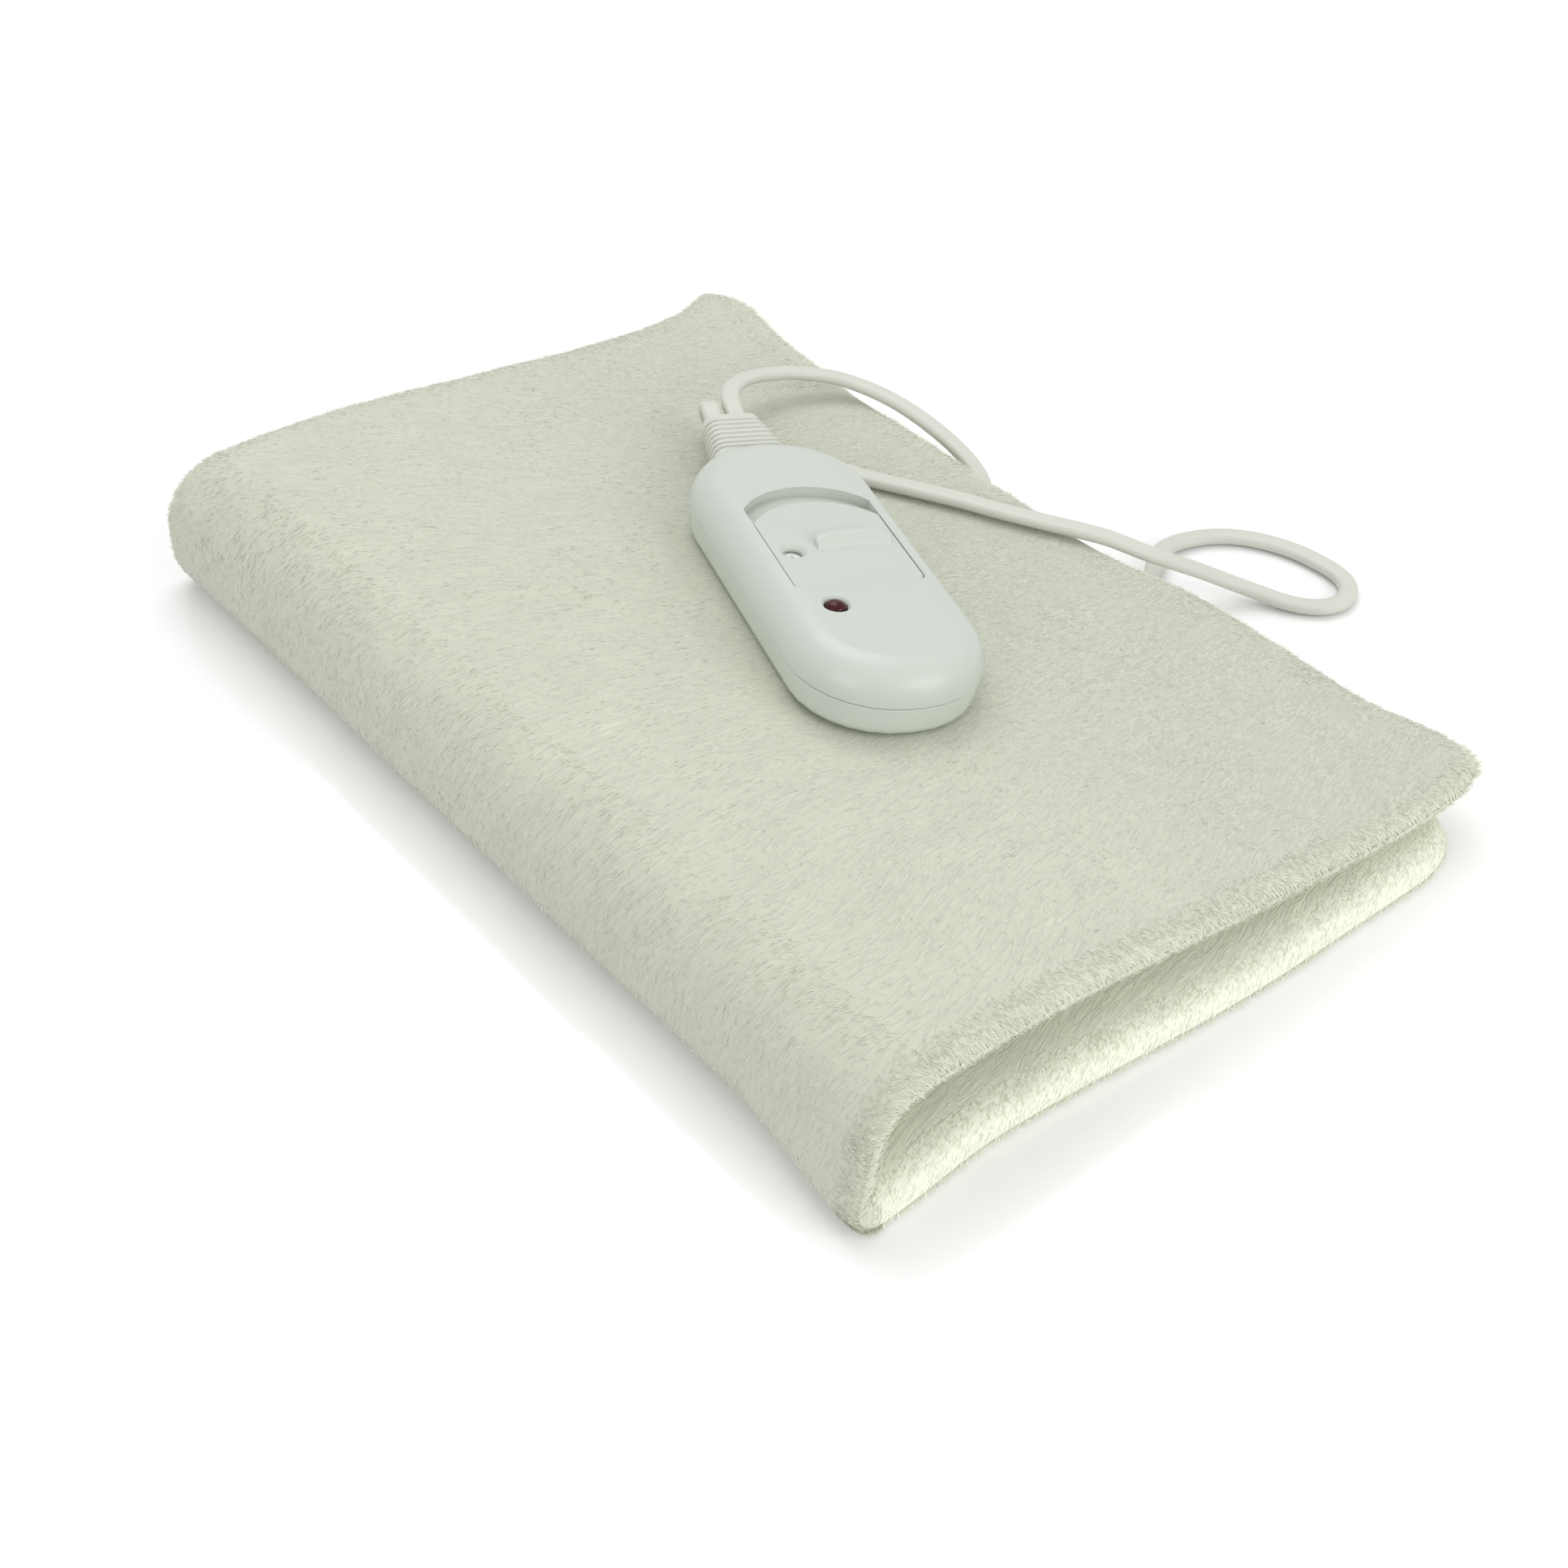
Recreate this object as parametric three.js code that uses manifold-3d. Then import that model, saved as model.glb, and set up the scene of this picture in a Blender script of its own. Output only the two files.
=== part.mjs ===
// Heating pad of fleece, folded once, with its slide controller and flat cords.
// Millimetres, +Z up. The origin is the middle of the pad's footprint, on the surface it lies on.
// The fold is on the -X side, the open long edge on the +X side, and the pad's length is along Y.
import * as THREE from "three";
import { mergeVertices } from "three/addons/utils/BufferGeometryUtils.js";
import Module from "manifold-3d";

const wasm = await Module();
wasm.setup();

// Driving dimensions

const fitGap = 0.3; // clearance between pieces that touch
const overrun = 1; // how far a cutting shape runs past what it cuts

const pad = {
  length: 300,
  width: 200,
  foldHeight: 40,
  fleeceThickness: 2.8,
  coreGap: 3.8, // room between the two fleeces, for the felt and the wire
  rimRound: 14, // how far in from an edge the pad reaches its full thickness
  seamThickness: 1.6,
  cornerRound: 16,
  endDroop: 2.4, // how much lower the upper half hangs at its two ends
  droopReach: 45,
  rampStart: 10, // where the upper half starts to fall, from the fold's centre
  rampEnd: 5, // and where it is down, from the open edge
  lowerSetBack: 3, // the lower half ends this much short of the upper one
  footInsideRadius: 1.2, // inside the fold's foot, where it turns up from the floor
  edgeDraw: 6.2, // the upper open edge is drawn in this much where the cords pass over it
  edgeDrawStart: 40, // from this line on
  edgeDrawShares: { nearStart: 2 / 9, nearRise: 1 / 6, farStart: 1 / 4, farFall: 1 / 4 }, // of the length
};

const heater = {
  feltThickness: 0.8,
  feltMargin: 20,
  wireDiameter: 2.1,
  wirePitch: 28,
  wireMargin: 30,
  cutoutLength: 16,
  cutoutWidth: 6,
  cutoutPass: 1.5, // a cut-out lies this many passes of the wire from each end
};

const cord = { width: 5.6, thickness: 3.2 };

const boot = {
  length: 24,
  outside: 9,
  width: 11,
  height: 6.4,
  nose: 1, // wall round the cord at its outer end
  jointLength: 12,
  jointWidth: 16,
  y: -28,
};

const housing = {
  length: 121.5,
  width: 50.2,
  height: 19,
  endRadius: 24,
  wall: 2,
  parting: 8.6, // height of the line between the two shells
  topRound: 9,
  bottomRound: 2.6,
  draft: 0.8, // how much narrower the lower shell is at its foot
};

const slider = {
  halfWidth: 17.4,
  nearEdge: -19.5,
  shoulder: 13.6,
  archRise: 9,
  cornerRadius: 2.5,
  thickness: 1.8,
  travel: 7.2,
  sightDiameter: 5.2,
  sightBevel: 1.1,
  sightX: -11.8,
  sightY: -1,
  ridgeStart: -5,
  ridgeEnd: 15.5,
  ridgeDepth: 9,
  ridgeHeight: 3,
  ridgeY: -3.6,
  ridgeBow: 1.4,
  ridgeRound: 2.4,
  ridgeEndSize: 0.4,
  legThickness: 1.8,
  legWidth: 5,
  legBarb: 0.9,
  legBarbHeight: 1.1,
};

const pocketFloor = 1.6; // thickness of the recess floor that the slider runs on
const scalePlateThickness = 0.5;
const scalePlateWidth = 7;

const board = { length: 92, width: 38, thickness: 1.6, clearUnder: 3.6, cornerRadius: 6 };
const switchBody = { length: 24, width: 8.4, height: 4.4, knob: 3.2, knobFoot: 1.6, y: -3 };
const lamp = {
  x: -10.3,
  y: -27.8,
  holeDiameter: 6.2,
  bevel: 0.7,
  flange: 1,
  flangeRim: 1.2,
  dome: 1.5,
  bulbDiameter: 3,
  bulbHeight: 4.6,
  rimDiameter: 3.8,
  rimHeight: 0.8,
  legSpacing: 2.54,
  legDiameter: 0.6,
  legHoleDiameter: 1.3,
};
const screw = {
  headDiameter: 5.2,
  headHeight: 1.9,
  shankDiameter: 2.6,
  length: 13,
  bossDiameter: 7.4,
  seat: 2.4, // thickness of the boss above the screw head
  x: 15,
  y: 40,
  slotWidth: 0.9,
  slotDepth: 0.8,
};
const post = { diameter: 5, x: 14.5, y: 22 };

const relief = {
  length: 20,
  nearWidth: 23,
  nearHeight: 11,
  farWidth: 17,
  farHeight: 8.8,
  corner: 3.6,
  neckWidth: 18,
  neckHeight: 8,
  flangeWidth: 20,
  flangeHeight: 9,
  flangeThickness: 2,
  flangeIn: 3.2, // the flange's far face, from the housing's inner end
  axisHeight: 8.6,
  rise: 1.6, // how much higher the far face sits than the neck
  ribs: 7,
  grooveDepth: 0.9,
  faceLength: 1.6, // plain stretch at each end of the ribs
  wrap: 4.5, // how far its near end reaches round the housing's end
  socketDepth: 3,
  cordSpacing: 7,
};
const clamp = { length: 7, width: 20, height: 4.4, fromEnd: 19 };
const lead = { diameter: 1.6, spacing: 4, reach: 4 };

const fuse = { diameter: 5, length: 20, capLength: 5, capRim: 0.3, x: -9, fromClamp: 6.25 };
const diode = { diameter: 3.4, length: 9, legDiameter: 0.9, legReach: 4, x: 7.5, fromClamp: 5.75 };
const capacitor = { length: 13, width: 6, height: 8, corner: 1, x: 9, y: -32 };

const plug = {
  width: 35.3,
  thickness: 13.7,
  length: 30,
  shoulder: 12, // length over which the body narrows to the sleeve
  corner: 4,
  neckWidth: 12,
  neckHeight: 9,
  sleeveLength: 18,
  sleeveEndWidth: 8.4,
  sleeveEndHeight: 6,
  sleeveRings: 3,
  sleeveFirstShare: 0.6, // of a ring's pitch, from the sleeve's near end to its first groove
  sleeveGroove: 0.7,
  pinDiameter: 4,
  pinLength: 19,
  pinSpacing: 18.6,
  pinSeat: 5,
  collarLength: 9,
  collarDiameter: 3.6,
};

const hank = {
  straight: 84,
  endWidth: 54,
  loopPitch: 7,
  layerGap: 0.5,
  turns: 4.5,
  layers: 4,
  waistDraw: 13,
  climbTurns: 0.5, // turns over which the cord climbs to the next layer
  stepsPerTurn: 24,
  x: -48,
  y: -12,
  tieWidth: 7,
  tieThickness: 0.8,
  tieGap: 0.9,
  tailRoom: 22, // from the hank's far end to the plug's sleeve
};

// The controller's place on the pad: its heading is the turn of its long axis away from +Y.
const controllerPlace = { x: 8.6, y: -7.9, heading: -0.3405, slope: -0.155, sink: 0.15 };

// Facets: on a quarter outline, a small corner, a round edge, small circles, and stations of long forms.
const round = { steps: 7, cornerSteps: 3, edgeSteps: 6, fineSteps: 16, roughSteps: 12, wireSides: 6 };
const padSteps = { foot: 5, over: 6, lower: 3, upper: 7, middle: 4 };
const cordSteps = { mains: 50, pad: 74, tail: 14, arcLengths: 1200 };

// Sizes that follow from the driving ones

const halfThickness = 2 * pad.fleeceThickness + pad.coreGap;
const openHeight = 2 * halfThickness + cord.thickness + 2 * fitGap;
const foldRadius = pad.foldHeight / 2;
const foldX = -pad.width / 2 + foldRadius;
const footRadius = halfThickness + pad.footInsideRadius;
const footX = -pad.width / 2 + footRadius;
const openX = pad.width / 2;
const lowerRun = openX - pad.lowerSetBack - footX;
const footRun = (Math.PI / 2) * footRadius;
const riseRun = pad.foldHeight - foldRadius - footRadius;
const overRun = (Math.PI / 2) * foldRadius;
const upperStart = lowerRun + footRun + riseRun + overRun;
const wholeRun = upperStart + openX - foldX;

// Plain shapes

function finish(color, roughness, metalness = 0) {
  return new THREE.MeshStandardMaterial({ color, roughness, metalness });
}

const fleeceFinish = finish(0xd9dccb, 0.95);
const innerFleeceFinish = finish(0xdbd9bd, 0.95);
const shellFinish = finish(0xdfe6df, 0.35);
const cordFinish = finish(0xdcdfd4, 0.45);
const metalFinish = finish(0xc8c9c6, 0.3, 1);

// A closed geometry as a manifold solid.
function solidOf(geometry) {
  const bare = geometry.clone();
  for (const name of Object.keys(bare.attributes)) if (name !== "position") bare.deleteAttribute(name);
  const merged = mergeVertices(bare);
  const made = new wasm.Manifold(
    new wasm.Mesh({
      numProp: 3,
      vertProperties: new Float32Array(merged.attributes.position.array),
      triVerts: new Uint32Array(merged.index.array),
    }),
  );
  return made;
}

function geometryOf(solid) {
  const mesh = solid.getMesh();
  const geometry = new THREE.BufferGeometry();
  geometry.setAttribute("position", new THREE.BufferAttribute(new Float32Array(mesh.vertProperties), 3));
  geometry.setIndex(new THREE.BufferAttribute(new Uint32Array(mesh.triVerts), 1));
  return geometry;
}

function joined(first, ...others) {
  let solid = solidOf(first);
  for (const other of others) solid = solid.add(solidOf(other));
  return geometryOf(solid);
}

function cut(first, ...others) {
  let solid = solidOf(first);
  for (const other of others) solid = solid.subtract(solidOf(other));
  return geometryOf(solid);
}

function signedVolume(positions, index) {
  const a = new THREE.Vector3(),
    b = new THREE.Vector3(),
    c = new THREE.Vector3();
  let sum = 0;
  for (let i = 0; i < index.length; i += 3) {
    a.fromArray(positions, 3 * index[i]);
    b.fromArray(positions, 3 * index[i + 1]);
    c.fromArray(positions, 3 * index[i + 2]);
    sum += a.dot(b.cross(c));
  }
  return sum;
}

function closedGeometry(positions, index) {
  if (signedVolume(positions, index) < 0)
    for (let i = 0; i < index.length; i += 3) [index[i + 1], index[i + 2]] = [index[i + 2], index[i + 1]];
  const geometry = new THREE.BufferGeometry();
  geometry.setAttribute("position", new THREE.Float32BufferAttribute(positions, 3));
  geometry.setIndex(index);
  return geometry;
}

// A closed body through rings of equal count, each a list of Vector3, with a flat cap at both ends.
function loft(rings) {
  const count = rings[0].length;
  const positions = rings.flat().flatMap((p) => [p.x, p.y, p.z]);
  const index = [];
  for (let r = 0; r + 1 < rings.length; r++)
    for (let i = 0; i < count; i++) {
      const a = r * count + i,
        b = r * count + ((i + 1) % count);
      index.push(a, b, b + count, a, b + count, a + count);
    }
  const last = (rings.length - 1) * count;
  for (let i = 1; i + 1 < count; i++) {
    index.push(0, i + 1, i);
    index.push(last, last + i, last + i + 1);
  }
  return closedGeometry(positions, index);
}

// Points of a rounded rectangle about the origin, counted anticlockwise.
function roundedOutline(halfX, halfY, radius, steps = round.steps) {
  const points = [];
  const r = Math.min(radius, halfX, halfY);
  const corners = [
    [1, 1],
    [-1, 1],
    [-1, -1],
    [1, -1],
  ];
  corners.forEach(([sx, sy], quarter) => {
    for (let i = 0; i <= steps; i++) {
      const angle = (quarter + i / steps) * (Math.PI / 2);
      points.push(
        new THREE.Vector2(sx * (halfX - r) + r * Math.cos(angle), sy * (halfY - r) + r * Math.sin(angle)),
      );
    }
  });
  return points;
}

function prism(shape, low, high, curveSegments = round.steps) {
  const geometry = new THREE.ExtrudeGeometry(shape, {
    depth: high - low,
    bevelEnabled: false,
    curveSegments,
  });
  return geometry.translate(0, 0, low);
}

function block(lowX, highX, lowY, highY, lowZ, highZ) {
  const geometry = new THREE.BoxGeometry(highX - lowX, highY - lowY, highZ - lowZ);
  return geometry.translate((lowX + highX) / 2, (lowY + highY) / 2, (lowZ + highZ) / 2);
}

// A turned piece on a vertical axis at x, y. The profile lists [radius, height] from its foot up.
function turned(x, y, profile, segments = round.fineSteps) {
  const points = profile.map(([radius, height]) => new THREE.Vector2(radius, height));
  const geometry = new THREE.LatheGeometry(points, segments);
  return geometry.rotateX(Math.PI / 2).translate(x, y, 0);
}

function rod(x, y, low, high, diameter, segments = round.roughSteps) {
  const radius = diameter / 2;
  return turned(x, y, [[0, low], [radius, low], [radius, high], [0, high]], segments);
}

function smooth(share) {
  const t = Math.min(1, Math.max(0, share));
  return t * t * (3 - 2 * t);
}

// The folded pad

const rimShares = [0, 0.08, 0.28, 0.6, 1];

// Stations of the pad's faces, counted along the outer face from the lower open edge.
function padRuns() {
  const first = rimShares.map((share) => share * pad.rimRound);
  const runs = [...first];
  for (let i = 1; i < padSteps.lower; i++)
    runs.push(pad.rimRound + ((lowerRun - pad.rimRound) * i) / padSteps.lower);
  for (let i = 0; i <= padSteps.foot; i++) runs.push(lowerRun + (footRun * i) / padSteps.foot);
  for (let i = padSteps.over; i >= 0; i--) runs.push(upperStart - (overRun * i) / padSteps.over);
  const upperFlat = wholeRun - pad.rimRound - upperStart;
  for (let i = 1; i < padSteps.upper; i++) runs.push(upperStart + (upperFlat * i) / padSteps.upper);
  return [...runs, ...first.reverse().map((run) => wholeRun - run)];
}

// Places along Y between two ends, close together at the rims and where the ends droop.
function padPlaces(halfLength) {
  const fromEnd = rimShares.map((share) => share * pad.rimRound);
  fromEnd.push((pad.rimRound + pad.droopReach) / 2, pad.droopReach);
  const near = fromEnd.map((distance) => distance - halfLength);
  const inner = halfLength - pad.droopReach;
  const middle = [];
  for (let i = 1; i < padSteps.middle; i++) middle.push(-inner + (2 * inner * i) / padSteps.middle);
  return [...near, ...middle, ...near.map((y) => -y).reverse()];
}

// A function as straight lines between its values at some stations, so that every layer of the pad
// bends at the same places.
function straightBetween(stations, value) {
  const values = stations.map(value);
  return (at) => {
    let i = 1;
    while (i + 1 < stations.length && at > stations[i]) i++;
    const share = (at - stations[i - 1]) / (stations[i] - stations[i - 1]);
    return values[i - 1] + share * (values[i] - values[i - 1]);
  };
}

const faceRuns = padRuns();
const facePlaces = padPlaces(pad.length / 2);

// Height of the pad's upper face over the line x, before its ends droop.
const upperHeight = straightBetween(
  faceRuns.filter((run) => run > upperStart - fitGap).map((run) => foldX + run - upperStart),
  (x) => {
    const start = foldX + pad.rampStart,
      end = openX - pad.rampEnd;
    return pad.foldHeight - (pad.foldHeight - openHeight) * smooth((x - start) / (end - start));
  },
);

// How far the upper open edge is drawn in at a place along Y, more at the cords and less beyond them.
const edgeDrawAt = straightBetween(facePlaces, (y) => {
  const share = y / pad.length;
  const { nearStart, nearRise, farStart, farFall } = pad.edgeDrawShares;
  return pad.edgeDraw * smooth((share + nearStart) / nearRise) * (1 - smooth((share - farStart) / farFall));
});

// How much lower the fold's top hangs at a place along Y.
const droopAt = straightBetween(facePlaces, (y) => {
  const fromEnd = pad.length / 2 - Math.abs(y);
  return pad.endDroop * (1 - smooth(fromEnd / pad.droopReach));
});

// The outer face at a distance run along it, from the lower open edge round the fold to the upper one:
// a point in X and Z, and the direction into the pad. The fold turns up from the floor round a tight
// foot, rises straight, and turns over in a wide round.
function outerFace(run) {
  if (run <= lowerRun) return { x: openX - pad.lowerSetBack - run, z: 0, inX: 0, inZ: 1 };
  if (run < lowerRun + footRun) {
    const angle = (run - lowerRun) / footRadius;
    const sin = Math.sin(angle),
      cos = Math.cos(angle);
    return { x: footX - footRadius * sin, z: footRadius - footRadius * cos, inX: sin, inZ: cos };
  }
  if (run < upperStart - overRun)
    return { x: -pad.width / 2, z: footRadius + run - lowerRun - footRun, inX: 1, inZ: 0 };
  if (run < upperStart) {
    const angle = (upperStart - run) / foldRadius;
    const sin = Math.sin(angle),
      cos = Math.cos(angle);
    const z = pad.foldHeight - foldRadius + foldRadius * cos;
    return { x: foldX - foldRadius * sin, z, inX: sin, inZ: -cos };
  }
  const x = foldX + run - upperStart;
  return { x, z: upperHeight(x), inX: 0, inZ: -1 };
}

// Half the pad's length at a run: the corners at the open edges are round.
function halfLengthAt(run) {
  const fromRim = Math.min(run, wholeRun - run);
  const share = Math.max(0, 1 - fromRim / pad.cornerRound);
  return pad.length / 2 - pad.cornerRound * (1 - Math.sqrt(1 - share * share));
}

// A point of the pad at a run, a depth under the outer face and a place along Y.
function padPoint(run, depth, y) {
  const face = outerFace(run);
  const x = face.x + face.inX * depth;
  const z = face.z + face.inZ * depth;
  const overLower = Math.max(0, z - halfThickness);
  const inEdge = smooth((x - pad.edgeDrawStart) / (openX - pad.edgeDrawStart));
  const drawn = run > upperStart ? edgeDrawAt(y) * inEdge : 0;
  return new THREE.Vector3(x - drawn, y, z - (droopAt(y) / pad.foldHeight) * overLower);
}

// How far the outer and inner faces draw in towards the seam, near the rim.
function rimInset(fromOpen, fromEnd) {
  const a = Math.max(0, 1 - fromOpen / pad.rimRound),
    b = Math.max(0, 1 - fromEnd / pad.rimRound);
  const reach = Math.min(1, Math.hypot(a, b));
  return ((halfThickness - pad.seamThickness) / 2) * (1 - Math.sqrt(1 - reach * reach));
}

// Half the room between the fleeces, closing towards the seam.
function coreHalfGap(fromOpen, fromEnd) {
  const near = Math.min(fromOpen, fromEnd) / pad.rimRound;
  return fitGap / 2 + (pad.coreGap / 2 - fitGap / 2) * smooth(near);
}

// A closed sheet between two faces over a grid of runs and places.
function sheet(runs, placesAt, faceA, faceB) {
  const columns = placesAt(runs[0]).length;
  const positions = [];
  for (const face of [faceA, faceB])
    for (const run of runs)
      for (const y of placesAt(run)) {
        const p = face(run, y);
        positions.push(p.x, p.y, p.z);
      }
  const layer = runs.length * columns;
  const index = [];
  const at = (face, r, c) => face * layer + r * columns + c;
  for (let r = 0; r + 1 < runs.length; r++)
    for (let c = 0; c + 1 < columns; c++) {
      index.push(at(0, r, c), at(0, r, c + 1), at(0, r + 1, c + 1));
      index.push(at(0, r, c), at(0, r + 1, c + 1), at(0, r + 1, c));
      index.push(at(1, r, c), at(1, r + 1, c + 1), at(1, r, c + 1));
      index.push(at(1, r, c), at(1, r + 1, c), at(1, r + 1, c + 1));
    }
  const edge = (a, b) => index.push(a, b, b + layer, a, b + layer, a + layer);
  for (let c = 0; c + 1 < columns; c++) {
    edge(at(0, 0, c + 1), at(0, 0, c));
    edge(at(0, runs.length - 1, c), at(0, runs.length - 1, c + 1));
  }
  for (let r = 0; r + 1 < runs.length; r++) {
    edge(at(0, r, 0), at(0, r + 1, 0));
    edge(at(0, r + 1, columns - 1), at(0, r, columns - 1));
  }
  return closedGeometry(positions, index);
}

function fromRims(run, y) {
  return [Math.min(run, wholeRun - run), halfLengthAt(run) - Math.abs(y)];
}

function fleeceSheet(outer) {
  const middle = halfThickness / 2;
  const skin = (run, y) => {
    const inset = rimInset(...fromRims(run, y));
    return padPoint(run, outer ? inset : halfThickness - inset, y);
  };
  const lining = (run, y) => {
    const gap = coreHalfGap(...fromRims(run, y));
    return padPoint(run, outer ? middle - gap : middle + gap, y);
  };
  return sheet(faceRuns, (run) => padPlaces(halfLengthAt(run)), skin, lining);
}

function feltSheet() {
  const top = pad.fleeceThickness + fitGap;
  const within = (stations, low, high) => [low, ...stations.filter((at) => at > low && at < high), high];
  const reach = pad.length / 2 - heater.feltMargin;
  const places = within(facePlaces, -reach, reach);
  return sheet(
    within(faceRuns, heater.feltMargin, wholeRun - heater.feltMargin),
    () => places,
    (run, y) => padPoint(run, top, y),
    (run, y) => padPoint(run, top + heater.feltThickness, y),
  );
}

// Depth of the layer that the wire, the cut-outs and the cord's joint lie in, under the outer face.
const wireDepth = pad.fleeceThickness + 2 * fitGap + heater.feltThickness + heater.wireDiameter / 2;

// A round tube through points, with a flat cap at both ends.
function tube(points, diameter, sides) {
  const rings = [];
  let normal = null;
  points.forEach((point, i) => {
    const before = points[Math.max(0, i - 1)],
      after = points[Math.min(points.length - 1, i + 1)];
    const tangent = after.clone().sub(before).normalize();
    if (!normal) normal = new THREE.Vector3(0, 0, 1);
    normal.addScaledVector(tangent, -normal.dot(tangent)).normalize();
    const side = tangent.clone().cross(normal);
    const ring = [];
    for (let k = 0; k < sides; k++) {
      const angle = (2 * Math.PI * k) / sides;
      ring.push(
        point
          .clone()
          .addScaledVector(normal, (diameter / 2) * Math.cos(angle))
          .addScaledVector(side, (diameter / 2) * Math.sin(angle)),
      );
    }
    rings.push(ring);
  });
  return loft(rings);
}

const wireSpan = wholeRun - 2 * heater.wireMargin;
const wirePasses = Math.max(2, Math.round(wireSpan / heater.wirePitch));
const wireStep = wireSpan / wirePasses;

// The wire goes to and fro along the pad's length, from the lower open edge to the upper one.
function heatingWire() {
  const passes = wirePasses,
    pitch = wireStep;
  const reach = pad.length / 2 - heater.wireMargin - pitch / 2;
  const turnSteps = round.edgeSteps;
  const points = [];
  for (let pass = 0; pass <= passes; pass++) {
    const way = pass % 2 ? -1 : 1;
    const run = heater.wireMargin + pass * pitch;
    points.push(padPoint(run, wireDepth, -way * reach));
    if (pass === passes) points.push(padPoint(run, wireDepth, way * reach));
    if (pass === passes) continue;
    for (let i = 0; i < turnSteps; i++) {
      const angle = (Math.PI * i) / turnSteps;
      const y = way * (reach + (pitch / 2) * Math.sin(angle));
      points.push(padPoint(run + (pitch / 2) * (1 - Math.cos(angle)), wireDepth, y));
    }
  }
  return tube(points, heater.wireDiameter, round.wireSides);
}

// A thermal cut-out lies flat between two passes of the wire.
function thermalCutout(run, y) {
  const place = padPoint(run, wireDepth, y);
  const halfWidth = heater.cutoutWidth / 2;
  const outline = roundedOutline(halfWidth, heater.cutoutLength / 2, halfWidth / 2, round.cornerSteps);
  const thickness = heater.wireDiameter;
  const geometry = prism(new THREE.Shape(outline), -thickness / 2, thickness / 2);
  const ahead = padPoint(run + halfWidth, wireDepth, y);
  const tilt = Math.atan2(ahead.z - place.z, ahead.x - place.x);
  return geometry.rotateY(-tilt).translate(place.x, place.y, place.z);
}

const controller = new THREE.Group();
const controllerFace = upperHeight(controllerPlace.x);
controller.position.set(controllerPlace.x, controllerPlace.y, controllerFace - controllerPlace.sink);
const leaning = new THREE.Matrix4().makeRotationY(-Math.atan(controllerPlace.slope));
const heading = new THREE.Matrix4().makeRotationZ(controllerPlace.heading);
controller.setRotationFromMatrix(leaning.multiply(heading));
controller.updateMatrixWorld(true);

// A point of the controller in the part's frame, and a direction.
function placed(x, y, z) {
  return new THREE.Vector3(x, y, z).applyMatrix4(controller.matrixWorld);
}

// Housing shells

const halfHousing = { x: housing.width / 2, y: housing.length / 2 };

function housingRing(inset, height) {
  const outline = roundedOutline(halfHousing.x - inset, halfHousing.y - inset, housing.endRadius - inset);
  return outline.map((p) => new THREE.Vector3(p.x, p.y, height));
}

// Rings from a foot to a rounded top, of the housing's outside or of its hollow.
function upperRings(inset, foot) {
  const radius = housing.topRound - inset;
  const rings = [housingRing(inset, foot)];
  const steps = round.edgeSteps;
  for (let i = 0; i <= steps; i++) {
    const angle = (i / steps) * (Math.PI / 2);
    const rise = housing.height - housing.topRound + radius * Math.sin(angle);
    rings.push(housingRing(inset + radius * (1 - Math.cos(angle)), rise));
  }
  return rings;
}

// The hollow's top is flat under the wall.
function lowerRings(inset, top) {
  const foot = inset;
  const radius = Math.max(housing.bottomRound - inset, housing.wall / 4);
  const rings = [];
  const steps = round.cornerSteps;
  for (let i = 0; i <= steps; i++) {
    const angle = (i / steps) * (Math.PI / 2);
    const narrow = housing.draft + inset + radius * (1 - Math.sin(angle));
    rings.push(housingRing(narrow, foot + radius * (1 - Math.cos(angle))));
  }
  rings.push(housingRing(inset, top));
  return rings;
}

const ceiling = housing.height - housing.wall;
const pocketDepth = slider.thickness + fitGap + fitGap + scalePlateThickness;
const pocketBottom = housing.height - pocketDepth;
const trayBottom = pocketBottom - pocketFloor;

// A rectangle with an arched far side.
function archShape(halfWidth, near, shoulder, rise, corner) {
  const radius = (halfWidth * halfWidth + rise * rise) / (2 * rise);
  const centre = shoulder + rise - radius;
  const start = Math.atan2(shoulder - centre, halfWidth);
  const shape = new THREE.Shape();
  shape.moveTo(-halfWidth + corner, near);
  shape.lineTo(halfWidth - corner, near);
  shape.absarc(halfWidth - corner, near + corner, corner, -Math.PI / 2, 0, false);
  shape.lineTo(halfWidth, shoulder);
  shape.absarc(0, centre, radius, start, Math.PI - start, false);
  shape.lineTo(-halfWidth, near + corner);
  shape.absarc(-halfWidth + corner, near + corner, corner, Math.PI, 1.5 * Math.PI, false);
  return shape;
}

function sliderShape(grow, reach = 0) {
  return archShape(
    slider.halfWidth + grow,
    slider.nearEdge - grow,
    slider.shoulder + reach,
    slider.archRise + grow,
    slider.cornerRadius + grow,
  );
}

const legOuter = switchBody.knob / 2 + fitGap + slider.legThickness;
const slotHalfWidth = legOuter + fitGap;
const slotNear = switchBody.y - slider.legWidth / 2 - fitGap;
const slotFar = switchBody.y + slider.legWidth / 2 + slider.travel + fitGap;

const clampY = halfHousing.y - clamp.fromEnd;
const clampNear = clampY - clamp.length / 2;

const boardBottom = housing.wall + board.clearUnder;
const boardTop = boardBottom + board.thickness;

const screwPlaces = [-1, 1].flatMap((sx) => [-1, 1].map((sy) => [sx * screw.x, sy * screw.y]));
const postPlaces = [-1, 1].flatMap((sx) => [-1, 1].map((sy) => [sx * post.x, sy * post.y]));

const scaleX = slider.sightX;
const scaleNear = slider.sightY - slider.sightDiameter;
const scaleFar = slider.sightY + slider.travel + slider.sightDiameter;

const gland = {
  y: halfHousing.y,
  neckNear: halfHousing.y - housing.wall - relief.flangeIn,
};

function reliefRing(halfX, halfZ, y, axis, inset = 0) {
  const outline = roundedOutline(halfX - inset, halfZ - inset, relief.corner, round.cornerSteps);
  return outline.map((p) => new THREE.Vector3(p.x, y, axis + p.y));
}

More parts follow.
